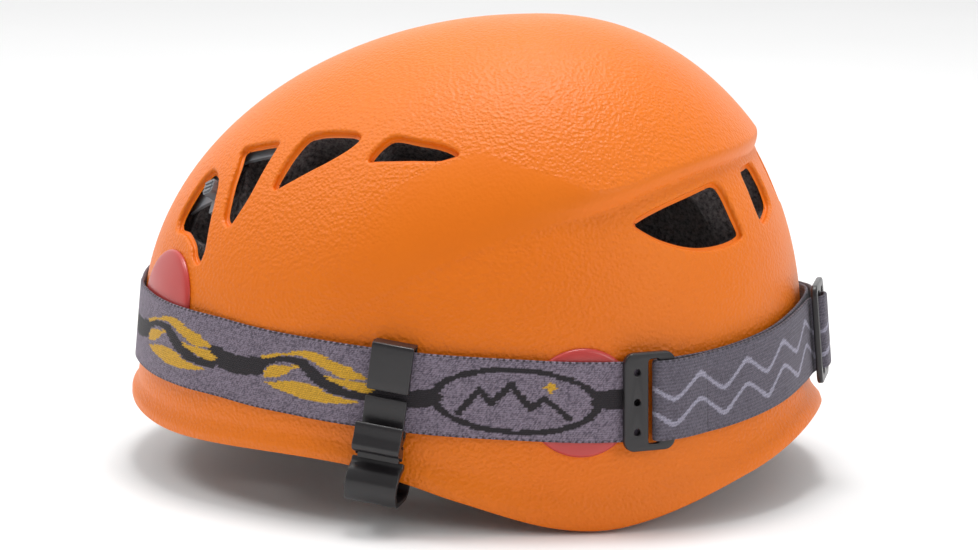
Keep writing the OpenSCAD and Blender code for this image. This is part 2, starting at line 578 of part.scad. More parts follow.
module chin_plug() color([0.05, 0.05, 0.055])
    on_face(-92, 37, -32) linear_extrude(4) difference() {
        union() {
            round_rect(20, 16, 3);
            for (s = [-1, 0, 1]) translate([s * 7, 10]) round_rect(3.4, 18, 1.4);
        }
        translate([0, -3]) round_rect(15, 3, 1.2);
    }

// ---------- nodes ----------

seated() outer_shell();
seated() foam_liner();
seated() vent_shutter(false);  // vent_shutter_left
seated() vent_shutter(true);  // vent_shutter_right
seated() lamp_clip(lamp_disc_front, false);  // lamp_clip_front_left
seated() lamp_clip(lamp_disc_front, true);  // lamp_clip_front_right
seated() lamp_clip(lamp_disc_rear, false);  // lamp_clip_rear_left
seated() lamp_clip(lamp_disc_rear, true);  // lamp_clip_rear_right
seated() lamp_strap_front();
seated() lamp_strap_rear();
seated() lamp_strap_tail();
seated() strap_buckle(false);  // strap_buckle_left
seated() strap_buckle(true);  // strap_buckle_right
seated() strap_slider();  // strap_slider_rear
seated() rim_clip(false);  // rim_clip_left
seated() rim_clip(true);  // rim_clip_right
seated() headband_front();
seated() brow_pad();
seated() headband_anchors();
seated() crown_pad(true);  // crown_pad_front
seated() crown_pad(false);  // crown_pad_rear
seated() rack_band_left();
seated() rack_band_right();
seated() knob_pinion();
seated() adjust_knob();
seated() cradle_housing();
seated() cradle_cover();
seated() nape_pad();
seated() chin_web(false);  // chin_web_left
seated() chin_web(true);  // chin_web_right
seated() strap_divider(false);  // strap_divider_left
seated() strap_divider(true);  // strap_divider_right
seated() chin_web_upper(false);  // chin_web_upper_left
seated() chin_web_upper(true);  // chin_web_upper_right
seated() chin_socket();
seated() chin_plug();
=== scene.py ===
import math
import bmesh
import bpy
import numpy as np
from mathutils import Vector, Matrix


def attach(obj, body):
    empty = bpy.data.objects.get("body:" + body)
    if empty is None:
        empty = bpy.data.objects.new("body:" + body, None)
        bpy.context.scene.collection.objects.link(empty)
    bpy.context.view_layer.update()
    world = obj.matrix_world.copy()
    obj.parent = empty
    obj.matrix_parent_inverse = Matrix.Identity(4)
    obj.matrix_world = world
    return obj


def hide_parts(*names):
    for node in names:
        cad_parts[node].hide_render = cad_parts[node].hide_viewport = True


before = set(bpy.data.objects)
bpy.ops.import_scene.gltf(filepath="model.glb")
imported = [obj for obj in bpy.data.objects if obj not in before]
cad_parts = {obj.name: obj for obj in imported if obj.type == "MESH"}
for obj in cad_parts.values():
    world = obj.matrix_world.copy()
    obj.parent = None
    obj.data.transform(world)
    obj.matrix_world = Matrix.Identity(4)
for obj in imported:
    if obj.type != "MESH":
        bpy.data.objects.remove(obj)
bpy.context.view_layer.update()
rng = np.random.default_rng(7)

# ---- shape of the shell (mm)
# A point on the shell has an angle a, 0 at the brow and 180 at the back, and a height v that is 0 at
# the crown, 90 on the belt and 100 on the rim. Each table below lists [a, value].
# Half width and half length on the belt, squareness, middle of belt and crown, crown and belt height:
W, L, NP, BELT_Y, CROWN_Y, H, ZB = 112.0, 135.0, 2.16, 11.0, 40.0, 182.5, 55.0
RIM = [[0, 27], [40, 22], [80, 22], [97, 10], [112, 0.4], [124, 0], [150, 15.5], [180, 27.5]]
FLARE = [[0, 5.3], [90, 2], [180, 9.6]]
CREASE = [[0, 92], [60, 90.5], [74.4, 82.5], [85.3, 75], [96.1, 67.9], [107.6, 63.4],
          [120.8, 60.1], [138.6, 55.6], [155.5, 53.6], [180, 53.2]]
RISE = [[0, 0], [62, 0], [80, 2.8], [96, 4.6], [108, 5], [130, 5], [155, 5], [180, 4.8]]
SPAN = [[0, 16], [75, 20], [96, 18.8], [102.4, 14.3], [112.4, 8.2], [120, 3.9], [138, 2.6], [180, 2.4]]
EYE = np.array([0, 10, 70.0])        # the raised crown swells away from this point
SEAT = np.array([0, -14.9, 1.29])    # from this shape's origin to the frame's
WALL = 2.4
LAST_V = 99.8                        # where the outer face ends and the lip begins
FAR = 30.0                           # stands for any greater distance from a vent


def curve(x, keys):
    """Smooth curve through a table of [x, value]."""
    k = np.array(keys, float)
    xs, ys = k[:, 0], k[:, 1]
    x = np.asarray(x, float)
    i = np.clip(np.searchsorted(xs, x, side="right") - 1, 0, len(xs) - 2)
    m = np.zeros(len(xs))
    m[1:-1] = (ys[2:] - ys[:-2]) / (xs[2:] - xs[:-2])
    h = xs[i + 1] - xs[i]
    t = np.clip((x - xs[i]) / h, 0, 1)
    return ((2 * t**3 - 3 * t**2 + 1) * ys[i] + (t**3 - 2 * t**2 + t) * m[i] * h
            + (3 * t**2 - 2 * t**3) * ys[i + 1] + (t**3 - t**2) * m[i + 1] * h)


def fold(a):
    """Angle from the brow on either side, 0 to 180."""
    return np.abs((np.asarray(a, float) + 180) % 360 - 180)


def ramp(t):
    t = np.clip(t, 0, 1)
    return t * t * (3 - 2 * t)


def spow(v, p):
    """Power that keeps the sign."""
    return np.sign(v) * np.abs(v) ** p


def face(a, v):
    """Point on the shell's outer face."""
    a, v = np.broadcast_arrays(np.asarray(a, float), np.asarray(v, float))
    r = np.radians(a)
    bx, by = W * spow(np.sin(r), 2 / NP), -L * spow(np.cos(r), 2 / NP)
    vd = np.radians(np.clip(v, 0.3, 90))
    k = np.clip((v - 90) / 10, 0, 1.2)
    f = 1 + curve(fold(a), FLARE) * k**2 / np.hypot(bx, by)
    s = np.sin(vd)
    low = v > 90
    rim = curve(fold(a), RIM)
    p = np.stack([np.where(low, bx * f, bx * s),
                  np.where(low, BELT_Y + by * f, CROWN_Y + (BELT_Y - CROWN_Y + by) * s),
                  np.where(low, ZB + (rim - ZB) * k, ZB + (H - ZB) * np.cos(vd))], -1)
    c = curve(fold(a), CREASE)
    t = np.clip((c - v) / curve(fold(a), SPAN), 0, 1)
    rise = curve(fold(a), RISE) * (0.25 * t + 0.75 * t * (2 - t)) * np.clip(v / c, 0, 1) ** 1.2
    d = p - EYE
    return p + d / np.linalg.norm(d, axis=-1, keepdims=True) * rise[..., None]


def face_normal(a, v):
    a = np.asarray(a, float)
    v = np.maximum(np.asarray(v, float), 1.0)
    n = np.cross(face(a + 0.5, v) - face(a - 0.5, v), face(a, v - 0.3) - face(a, v + 0.3))
    return n / np.linalg.norm(n, axis=-1, keepdims=True)


def skin(a, v, off=0.0):
    """Point at a distance off outside the face."""
    a, v, off = np.broadcast_arrays(np.asarray(a, float), np.asarray(v, float), np.asarray(off, float))
    return face(a, v) + face_normal(a, v) * off[..., None]


def crown_angle(a, z):
    z = np.asarray(z, float)
    rim = curve(fold(a), RIM)
    up = np.degrees(np.arccos(np.clip((z - ZB) / (H - ZB), -1, 1)))
    return np.where(z >= ZB, up, 90 + 10 * (ZB - z) / (ZB - rim))


def wall(a, z, off):
    """Point outside the face, given by its height z in mm."""
    return skin(a, crown_angle(a, z), off)


# ---- vents
VENTS = {
    "brow": [(31, 57.8), (36.8, 59.2), (41.2, 63.6), (44.9, 70.2), (45.4, 72.9), (44.5, 74.4), (42, 73.4),
             (39.7, 71.5), (35.5, 70.1), (31, 70), (28.6, 67.9), (28.3, 63.5), (28.6, 59.6)],
    "temple": [(36.9, 52.6), (41.8, 50.8), (47.8, 49.6), (49.1, 50.8), (50.4, 55.4), (51.2, 60.8),
               (50.3, 65.8), (49.3, 66.5), (46.9, 65.2), (44.5, 61.7), (40.3, 56.2)],
    "upper": [(55.6, 47.9), (57.4, 46.8), (61.3, 46), (68.1, 45.7), (70.8, 46.8), (69.9, 49),
              (66.9, 51.7), (63.5, 54.1), (59.3, 57.2), (57.2, 58.6), (56, 57.4), (55.6, 54.9),
              (55.2, 50.9)],
    "side": [(76.2, 48.9), (77.8, 46.6), (80.1, 46.1), (84.8, 46.8), (89.4, 47.6), (92.8, 49.4),
             (90.8, 50.7), (89.4, 51.1), (84.7, 51.2), (78.7, 51.5), (76, 51.4)],
    "rear": [(128.2, 62.3), (130.5, 60.8), (138, 58.6), (149.3, 56.5), (153.4, 56.4), (155.2, 58.4),
             (156.3, 63.1), (157.1, 66.4), (155.3, 67.6), (148.8, 68.3), (141.4, 68), (134.5, 66.2),
             (129.8, 63.9)],
    "nape": [(166, 55.6), (171.5, 54.9), (174.8, 55.2), (175.8, 58), (176, 61), (175, 63.6), (172, 65),
             (167, 66), (165.5, 63.8), (165.4, 59.6)],
}


def blend4(p0, p1, p2, p3, t):
    """Smooth curve from p1 to p2, with their two neighbours."""
    return 0.5 * (2 * p1 + (p2 - p0) * t + (2 * p0 - 5 * p1 + 4 * p2 - p3) * t**2
                  + (3 * p1 - p0 - 3 * p2 + p3) * t**3)


def rounded(poly, per=16):
    q = np.array(poly, float)
    n = len(q)
    t = np.linspace(0, 1, per, endpoint=False)[:, None]
    return np.vstack([blend4(q[i - 1], q[i], q[(i + 1) % n], q[(i + 2) % n], t) for i in range(n)])


def open_curve(keys, per):
    k = np.array(keys, float)
    last = len(k) - 1
    t = np.linspace(0, 1, per, endpoint=False)[:, None]
    out = [blend4(k[max(i - 1, 0)], k[i], k[i + 1], k[min(i + 2, last)], t) for i in range(last)]
    return np.vstack(out + [k[-1:]])


def lengths(p):
    """Distance along a path to each of its points."""
    return np.concatenate([[0], np.cumsum(np.linalg.norm(np.diff(p, axis=0), axis=1))])


def unit(x):
    return x / np.linalg.norm(x, axis=-1, keepdims=True)


def outline_distance(poly, a, v):
    """Signed distance in mm on the shell's face from a vent's outline, below 0 inside."""
    line = rounded(poly)
    c = line.mean(0)
    sa = np.linalg.norm(face(c[0] + 1, c[1]) - face(c[0] - 1, c[1])) / 2
    sv = np.linalg.norm(face(c[0], c[1] + 1) - face(c[0], c[1] - 1)) / 2
    scale = np.array([sa, sv])
    p = (np.stack([a, v], -1) - c) * scale
    q = (line - c) * scale
    e = np.roll(q, -1, 0) - q
    near = np.full(len(p), FAR)
    rad = np.hypot(q[:, 0], q[:, 1]).max() + 12
    m = np.hypot(p[:, 0], p[:, 1]) < rad
    pm = p[m]
    w = pm[:, None, :] - q[None]
    t = np.clip((w * e).sum(-1) / (e * e).sum(-1), 0, 1)
    dist = np.linalg.norm(w - t[..., None] * e, axis=-1).min(1)
    y0, y1 = q[None, :, 1], np.roll(q, -1, 0)[None, :, 1]
    x0, x1 = q[None, :, 0], np.roll(q, -1, 0)[None, :, 0]
    cross = ((y0 > pm[:, 1:]) != (y1 > pm[:, 1:])) & (
        pm[:, :1] < (x1 - x0) * (pm[:, 1:] - y0) / np.where(y1 == y0, 1e-9, y1 - y0) + x0)
    inside = cross.sum(1) % 2 == 1
    near[m] = np.where(inside, -dist, dist)
    return near


def vent_distance(a, v):
    d = np.full(a.shape, FAR)
    for poly in VENTS.values():
        d = np.minimum(d, outline_distance(poly, a, v))
    return d


# ---- mesh tools
def grid_triangles(rows, cols):
    i, j = np.meshgrid(np.arange(rows - 1), np.arange(cols - 1), indexing="ij")
    a = i * cols + j
    b, c, d = a + 1, a + cols + 1, a + cols
    return np.concatenate([np.stack([a, d, c], -1).reshape(-1, 3), np.stack([a, c, b], -1).reshape(-1, 3)])


def cut_at(par, tri, level):
    """Adds vertices along par[:, -1] == level. par holds one row of values per vertex."""
    snap = 0.02
    s = par[:, -1] - level
    s[np.abs(s) < snap] = 0
    par[np.abs(par[:, -1] - level) < snap, -1] = level
    st = s[tri]
    crossing = (np.sign(st).min(1) < 0) & (np.sign(st).max(1) > 0)
    keep, work = tri[~crossing], tri[crossing]
    made, new, out = {}, [], []
    base = len(par)

    def mid(i, j):
        key = (i, j) if i < j else (j, i)
        if key not in made:
            t = s[key[0]] / (s[key[0]] - s[key[1]])
            row = par[key[0]] * (1 - t) + par[key[1]] * t
            row[-1] = level
            made[key] = base + len(new)
            new.append(row)
        return made[key]

    for t in work:
        t = [int(x) for x in t]
        sg = [s[x] for x in t]
        zero = [k for k in range(3) if sg[k] == 0]
        if zero:
            k = zero[0]
            o, p, q = t[k], t[(k + 1) % 3], t[(k + 2) % 3]
            m = mid(p, q)
            out += [[o, p, m], [o, m, q]]
            continue
        k = next(k for k in range(3) if sg[k] * sg[(k + 1) % 3] < 0 and sg[k] * sg[(k + 2) % 3] < 0)
        o, p, q = t[k], t[(k + 1) % 3], t[(k + 2) % 3]
        m, n = mid(o, p), mid(o, q)
        out += [[o, m, n], [m, p, q], [m, q, n]]
    par = np.vstack([par, np.array(new)]) if new else par
    return par, np.vstack([keep, np.array(out, int).reshape(-1, 3)])


def holed_grid(a, v, levels):
    """Grid of (a, v, distance from a vent) and its triangles, open inside the last level."""
    a, v = np.broadcast_arrays(a, v)
    par = np.column_stack([a.ravel(), v.ravel(), vent_distance(a.ravel(), v.ravel())])
    tri = grid_triangles(*v.shape)
    for level in levels:
        par, tri = cut_at(par, tri, level)
    return par, tri[par[tri, 2].mean(1) > levels[-1] + 1e-6]


def pin_seam(pos, a):
    pos[(a == 0) | (a == 180), 0] = 0
    return pos


def edge_loop(tri, par, level):
    """Directed border edges whose two ends lie on the level."""
    e = np.vstack([tri[:, [0, 1]], tri[:, [1, 2]], tri[:, [2, 0]]])
    have = set(map(tuple, e))
    on = par[:, -1] == level
    return [(i, j) for i, j in have if (j, i) not in have and on[i] and on[j]]


def bridge(p, q):
    """Triangles between two rows of vertex numbers."""
    return np.vstack([np.stack([p[:-1], q[:-1], q[1:]], -1), np.stack([p[:-1], q[1:], p[1:]], -1)])


def ring_walls(loop, ids, rings, first):
    """Faces from the border loop through rings of new vertices, which are numbered from first."""
    where = {k: n for n, k in enumerate(ids)}
    last, faces = np.array(ids), []
    for k in range(rings):
        now = np.arange(len(ids)) + first + k * len(ids)
        for i, j in loop:
            p, q, r, t = last[where[i]], last[where[j]], now[where[i]], now[where[j]]
            faces += [[q, p, r], [q, r, t]]
        last = now
    return faces


def tube_faces(n, m):
    """Faces round n rings of m points, with both ends closed."""
    i, j = np.meshgrid(np.arange(n - 1), np.arange(m), indexing="ij")
    a, b = i * m + j, i * m + (j + 1) % m
    quads = np.stack([a, b, b + m, a + m], -1).reshape(-1, 4)
    return quads.tolist() + [list(range(m))[::-1], [(n - 1) * m + k for k in range(m)]]


def show(name, data):
    ob = bpy.data.objects.new(name, data)
    bpy.context.scene.collection.objects.link(ob)
    return ob


def to_object(name, pos, faces, mat):
    me = bpy.data.meshes.new(name)
    me.from_pydata([tuple(p) for p in (np.asarray(pos) + SEAT) * 0.001], [],
                   [tuple(int(x) for x in f) for f in faces])
    me.validate()
    me.polygons.foreach_set("use_smooth", [True] * len(me.polygons))
    me.update()
    me.materials.append(mat)
    return show(name, me)


def add_uv(ob, uv):
    """Lays strap coordinates in mm, one pair for each vertex, on the mesh."""
    me = ob.data
    layer = me.uv_layers.new(name="strap")
    idx = np.zeros(len(me.loops), np.int32)
    me.loops.foreach_get("vertex_index", idx)
    layer.data.foreach_set("uv", uv.reshape(-1, 2)[idx].astype(np.float32).ravel())


def mirrored(pos, tri):
    """Both halves of a mesh that covers x >= 0, joined at x = 0."""
    n = len(pos)
    other = pos * [-1, 1, 1]
    seam = np.abs(pos[:, 0]) < 1e-4
    index = np.where(seam, np.arange(n), np.arange(n) + n)
    return np.vstack([pos, other]), np.vstack([tri, index[tri][:, ::-1]])


def place(ob, body, slot, *replaced):
    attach(ob, body)
    if replaced:
        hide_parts(*replaced)


# ---- materials
def material(name):
    m = bpy.data.materials.new(name)
    m.use_nodes = True
    nt = m.node_tree
    return m, nt, nt.nodes["Principled BSDF"]


def node(nt, kind, **sets):
    n = nt.nodes.new(kind)
    for k, v in sets.items():
        setattr(n, k, v)
    return n


def link(nt, a, b):
    nt.links.new(a, b)


def put(n, **values):
    """Sets sockets by name, with _ for a space."""
    for key, val in values.items():
        n.inputs[key.replace("_", " ")].default_value = val


def feed(nt, val, sock):
    """Links an output to a socket, or sets a plain value on it."""
    if hasattr(val, "is_output"):
        link(nt, val, sock)
    else:
        sock.default_value = val


def rgb(r, g, b):
    """Linear colour from 0 to 255 display values."""
    f = lambda c: (c / 255 / 12.92) if c / 255 <= 0.04045 else ((c / 255 + 0.055) / 1.055) ** 2.4
    return (f(r), f(g), f(b), 1)


def coords(nt):
    return node(nt, "ShaderNodeTexCoord").outputs["Object"]


def noise(nt, src, scale, detail=2.0, rough=0.5):
    n = node(nt, "ShaderNodeTexNoise")
    put(n, Scale=scale, Detail=detail, Roughness=rough)
    link(nt, src, n.inputs["Vector"])
    return n.outputs[0]


def mix(nt, fac, a, b):
    m = node(nt, "ShaderNodeMix", data_type="RGBA")
    for i, val in ((0, fac), (6, a), (7, b)):
        feed(nt, val, m.inputs[i])
    return m.outputs[2]


def calc(nt, op, a, b=None, c=None, clamp=False):
    m = node(nt, "ShaderNodeMath", operation=op, use_clamp=clamp)
    for i, val in enumerate((a, b, c)):
        if val is not None:
            feed(nt, val, m.inputs[i])
    return m.outputs[0]


def bump(nt, height, strength, distance, bsdf):
    b = node(nt, "ShaderNodeBump")
    put(b, Distance=distance)
    feed(nt, strength, b.inputs["Strength"])
    link(nt, height, b.inputs["Height"])
    link(nt, b.outputs[0], bsdf.inputs["Normal"])


def shell_material():
    m, nt, b = material("shell_pebbled")
    src = coords(nt)
    big = noise(nt, src, 14, 3)
    grain = node(nt, "ShaderNodeTexVoronoi", feature="SMOOTH_F1")
    put(grain, Scale=720, Smoothness=0.6)
    link(nt, src, grain.inputs["Vector"])
    fine = noise(nt, src, 1700, 2)
    mask = node(nt, "ShaderNodeAttribute", attribute_name="pebble")
    link(nt, mix(nt, big, rgb(232, 112, 2), rgb(240, 124, 6)), b.inputs["Base Color"])
    height = calc(nt, "ADD", calc(nt, "MULTIPLY", grain.outputs["Distance"], 0.9),
                  calc(nt, "MULTIPLY", fine, 0.4))
    strength = calc(nt, "MULTIPLY_ADD", mask.outputs["Fac"], 0.62, 0.06)
    bump(nt, height, strength, 0.0006, b)
    link(nt, calc(nt, "MULTIPLY_ADD", fine, 0.12, 0.36), b.inputs["Roughness"])
    put(b, Specular_IOR_Level=0.36)
    return m


def foam_material():
    m, nt, b = material("liner_foam")
    src = coords(nt)
    cell = node(nt, "ShaderNodeTexVoronoi")
    put(cell, Scale=420)
    link(nt, src, cell.inputs["Vector"])
    # base colour: dark foam with light flecks, partly the beads' own grey mottle and partly painted sheen
    # on the beads
    speck_and_sheen = noise(nt, src, 620, 3, 0.7)
    patch = noise(nt, src, 60, 2)
    bead_tone_and_sheen = node(nt, "ShaderNodeValToRGB")
    for stop, at, color in zip(bead_tone_and_sheen.color_ramp.elements, (0.36, 0.66),
                               (rgb(38, 34, 36), rgb(126, 120, 120))):
        stop.position, stop.color = at, color
    link(nt, calc(nt, "ADD", calc(nt, "MULTIPLY", speck_and_sheen, 0.8), calc(nt, "MULTIPLY", patch, 0.2)),
         bead_tone_and_sheen.inputs[0])
    link(nt, bead_tone_and_sheen.outputs[0], b.inputs["Base Color"])
    bump(nt, cell.outputs["Distance"], 0.5, 0.0008, b)
    put(b, Roughness=0.85)
    return m


def plastic(name, dark, light, rough=0.35, coat=0.0):
    m, nt, b = material(name)
    src = coords(nt)
    cloud = noise(nt, src, 35, 3)
    grain = noise(nt, src, 1200, 2)
    link(nt, mix(nt, cloud, dark, light), b.inputs["Base Color"])
    link(nt, calc(nt, "MULTIPLY_ADD", grain, 0.16, rough - 0.08), b.inputs["Roughness"])
    bump(nt, grain, 0.12, 0.0003, b)
    put(b, Coat_Weight=coat, Coat_Roughness=0.2)
    return m


def disc_material():
    m, nt, b = material("clip_disc_red")
    src = coords(nt)
    cloud = noise(nt, src, 60, 2)
    link(nt, mix(nt, cloud, rgb(196, 58, 56), rgb(208, 72, 66)), b.inputs["Base Color"])
    put(b, Roughness=0.32, Coat_Weight=0.2, Coat_Roughness=0.25, Transmission_Weight=0.12, IOR=1.49)
    bump(nt, noise(nt, src, 240, 2), 0.04, 0.0004, b)
    return m


def knit_material(name, rib, dyed=None):
    """Elastic: colour comes from the paint layer, the knit from the strap's own coordinates."""
    m, nt, b = material(name)
    paint = node(nt, "ShaderNodeAttribute", attribute_name="paint")
    uv = node(nt, "ShaderNodeUVMap", uv_map="strap")
    sep = node(nt, "ShaderNodeSeparateXYZ")
    link(nt, uv.outputs[0], sep.inputs[0])
    along, over = sep.outputs[0], sep.outputs[1]
    stitch_mm = 1.1
    ribs = calc(nt, "SINE", calc(nt, "MULTIPLY", over, 2 * math.pi / rib))
    stitch = calc(nt, "SINE", calc(nt, "ADD", calc(nt, "MULTIPLY", along, 2 * math.pi / stitch_mm),
                                   calc(nt, "MULTIPLY", over, 2 * math.pi / (2 * rib))))
    weave = calc(nt, "MULTIPLY_ADD", calc(nt, "MULTIPLY", ribs, stitch), 0.25,
                 calc(nt, "MULTIPLY_ADD", ribs, 0.25, 0.5))
    src = coords(nt)
    fuzz = noise(nt, src, 1400, 3, 0.7)
    shade = calc(nt, "MULTIPLY_ADD", weave, 0.5, calc(nt, "MULTIPLY_ADD", fuzz, 0.5, 0.5))
    col = node(nt, "ShaderNodeMix", data_type="RGBA", blend_type="MULTIPLY")
    col.inputs[0].default_value = 1
    if dyed:
        link(nt, mix(nt, noise(nt, src, 90, 2), *dyed), col.inputs[6])
    else:
        link(nt, paint.outputs["Color"], col.inputs[6])
    comb = node(nt, "ShaderNodeCombineColor")
    for i in range(3):
        link(nt, shade, comb.inputs[i])
    link(nt, comb.outputs[0], col.inputs[7])
    link(nt, col.outputs[2], b.inputs["Base Color"])
    bump(nt, calc(nt, "ADD", weave, calc(nt, "MULTIPLY", fuzz, 0.4)), 0.55, 0.0004, b)
    put(b, Roughness=0.85, Sheen_Weight=0.15, Sheen_Roughness=0.4)
    return m


def fabric(name, dark, light):
    m, nt, b = material(name)
    src = coords(nt)
    threads = []
    for way in ("DIAGONAL", "Z"):
        wave = node(nt, "ShaderNodeTexWave", wave_type="BANDS", bands_direction=way)
        put(wave, Scale=360, Distortion=0.6)
        link(nt, src, wave.inputs["Vector"])
        threads.append(wave.outputs["Fac"])
    weave = calc(nt, "MULTIPLY", *threads)
    cloud = noise(nt, src, 200, 3)
    link(nt, mix(nt, calc(nt, "MULTIPLY_ADD", weave, 0.6, calc(nt, "MULTIPLY", cloud, 0.4)),
                 dark, light), b.inputs["Base Color"])
    bump(nt, weave, 0.5, 0.0005, b)
    put(b, Roughness=0.9, Sheen_Weight=0.2)
    return m


MAT_SHELL = shell_material()
MAT_FOAM = foam_material()
MAT_BLACK = plastic("black_moulded", rgb(26, 24, 26), rgb(40, 37, 39), 0.36, coat=0.1)
MAT_BAND = plastic("band_moulded", rgb(30, 30, 33), rgb(44, 44, 48), 0.45)
MAT_GREY = plastic("shutter_grey", rgb(112, 114, 118), rgb(138, 140, 144), 0.4)
MAT_GEAR = plastic("gear_grey", rgb(150, 152, 156), rgb(172, 174, 178), 0.4)
MAT_DISC = disc_material()
MAT_PAD = fabric("pad_cloth", rgb(34, 34, 38), rgb(66, 66, 72))
MAT_WEB = knit_material("webbing_black", 1.0, (rgb(30, 30, 33), rgb(48, 48, 52)))
MAT_FRONT = knit_material("strap_knit", 0.8)
MAT_REAR = knit_material("strap_rib", 1.3)

# ---- shell
COLS = 241
A_HALF = np.linspace(0, 180, COLS)
FILLET = 1.2
VENT_ROWS = (2.4, 1.6, 1.05, 0.65, 0.35, 0.14, 0.0)    # rows round each vent, in mm from its edge
VENT_DEPTHS = (-1.5, -1.9, -2.25, -2.45, -2.5)          # rings down the vent's wall
VENT_SPREAD = (0, 0, 0.05, 0.3, 1.4)                    # and how far each one opens under the shell
INNER_CUT = 0.5                                         # the inner face stops this far outside a vent


def relief(a, v):
    """Fine relief on the shell's face: a thin raised line on the crease and the rolled rim."""
    line = 0.3 * np.exp(-((v - curve(a, CREASE)) / 0.7) ** 2) * ramp((a - 68) / 14)
    bead = 0.8 * np.exp(-((v - 99.0) / 0.7) ** 2)
    groove = -0.35 * np.exp(-((v - 97.3) / 0.6) ** 2)
    return line + bead + groove


def outer_rows():
    """Rows that follow both creases, so that neither is blurred."""
    c = curve(A_HALF, CREASE)
    s = c - curve(A_HALF, SPAN)
    rows = [1.5 + (s - 1.5) * t for t in np.linspace(0, 1, 92) ** 0.93]
    rows += [s + (c - s) * t for t in np.linspace(0, 1, 26)[1:]]
    rows += [c + (LAST_V - c) * t for t in np.linspace(0, 1, 60)[1:]]
    return np.array(rows)


def build_shell():
    v = outer_rows()
    par, tri = holed_grid(A_HALF, v, VENT_ROWS)
    pa, pv, pd = par.T
    u = np.clip(pd / FILLET, 0, 1)
    fillet = -FILLET * (1 - np.sqrt(np.clip(1 - (1 - u) ** 2, 0, 1)))
    pos = pin_seam(skin(pa, pv, relief(pa, pv) + fillet), pa)
    tri, pos, mask = add_walls(par, pos, tri, pebble_mask(pa, pv))
    return pos, tri, mask, v


def add_walls(par, pos, tri, mask):
    """Walls of the vents, down from the edge of the outer face."""
    loop = edge_loop(tri, par, 0.0)
    ids = sorted({i for e in loop for i in e})
    where = {k: n for n, k in enumerate(ids)}
    a, v = par[ids, 0], par[ids, 1]
    nrm = face_normal(a, v)
    tang = np.zeros((len(ids), 3))
    for i, j in loop:
        e = pos[j] - pos[i]
        tang[where[i]] += e
        tang[where[j]] += e
    out = np.cross(tang, nrm)
    out /= np.linalg.norm(out, axis=1, keepdims=True) + 1e-9
    base = face(a, v)
    rings = [base + nrm * depth + out * s for depth, s in zip(VENT_DEPTHS, VENT_SPREAD)]
    faces = ring_walls(loop, ids, len(rings), len(pos))
    mask = np.concatenate([mask, np.full(len(ids) * len(rings), 0.1)])
    return np.vstack([tri, np.array(faces, int)]), np.vstack([pos] + rings), mask


def pebble_mask(a, v):
    """1 where the shell is pebbled, less on the smooth slope under the crease."""
    c = curve(a, CREASE)
    s = c - curve(a, SPAN)
    mid = ramp((v - s) / 0.7) * ramp((c - v) / 0.7) * ramp((a - 76) / 14)
    return 1 - 0.8 * mid


shell_pos, shell_tri, shell_mask, shell_v = build_shell()

# lip and inner face of the shell, on the same columns
lip_rows = [skin(A_HALF, LAST_V + 0.17 * math.sin(t), relief(A_HALF, LAST_V) * (1 + math.cos(t)) / 2
                 - WALL * (1 - math.cos(t)) / 2) for t in np.linspace(0, math.pi, 7)[1:-1]]
inner_v = np.concatenate([[LAST_V, 98.5, 96], np.linspace(94, 2, 64)])
par_in, tri_in = holed_grid(A_HALF, inner_v[:, None], (INNER_CUT,))
pos_in = pin_seam(skin(par_in[:, 0], par_in[:, 1], -WALL), par_in[:, 0])
lip = np.vstack(lip_rows)
for k in range(len(lip_rows)):
    lip[k * COLS, 0] = lip[k * COLS + COLS - 1, 0] = 0
first_lip = len(shell_pos)
first_in = first_lip + len(lip)
pos = np.vstack([shell_pos, lip, pos_in])
one_row = np.arange(COLS)
chain = [one_row + (shell_v.shape[0] - 1) * COLS]
chain += [first_lip + k * COLS + one_row for k in range(len(lip_rows))] + [first_in + one_row]
strips = [bridge(p, q) for p, q in zip(chain[:-1], chain[1:])]
# close the crown
top = len(pos)
pos = np.vstack([pos, [[0, CROWN_Y, H]], [[0, CROWN_Y, H - WALL]]])
fan = np.stack([np.full(COLS - 1, top), one_row[:-1], one_row[1:]], -1)
last_row = first_in + (len(inner_v) - 1) * COLS
fan_in = np.stack([np.full(COLS - 1, top + 1), last_row + one_row[1:], last_row + one_row[:-1]], -1)
tri = np.vstack([shell_tri] + strips + [tri_in + first_in, fan, fan_in])
mask = np.concatenate([shell_mask, np.zeros(len(pos) - len(shell_mask))])
shell = to_object("shell_moulding", *mirrored(pos, tri), MAT_SHELL)
at = shell.data.attributes.new("pebble", "FLOAT", "POINT")
at.data.foreach_set("value", np.concatenate([mask, mask]).astype(np.float32))
place(shell, "helmet", "shell", "outer_shell")

# ---- foam liner
FOAM_FACE, FOAM_CROWN, FOAM_EDGE = -(WALL + 0.8), 17.0, 9.0    # outer face and thicknesses
FOAM_CUT = 1.0                                                 # room round a vent
# the shutters travel on a ball; BALL_U points at the shutter, BALL_T is the way it moves
BALL, BALL_R = np.array([-12.0, 2.0, 46.0]), 126.6
BALL_U = np.array([57.5, -83.4, 117.7]) - BALL
BALL_U /= np.linalg.norm(BALL_U)
BALL_AX = np.cross(BALL_U, np.array([71.8, -84.2, 98.6]) - BALL)
BALL_AX /= np.linalg.norm(BALL_AX)
BALL_T = np.cross(BALL_AX, BALL_U)


def shutter_recess(p):
    """Presses the foam's face in where the vent shutter travels."""
    d = p - BALL
    r = np.linalg.norm(d, axis=1)
    lat = np.degrees(np.arcsin(np.clip(d @ np.cross(BALL_U, BALL_T) / r, -1, 1)))
    turn = np.degrees(np.arctan2(d @ BALL_T, d @ BALL_U))
    swept = (lat > -11.2) & (lat < 17.6) & (turn > -15.2) & (turn < 16.4)
    low = BALL_R - 2.2
    return np.where((swept & (r > low))[:, None], BALL + d / r[:, None] * low, p)


def foam_inner(v):
    return FOAM_FACE - FOAM_EDGE - (FOAM_CROWN - FOAM_EDGE) * ramp((90 - v) / 70)


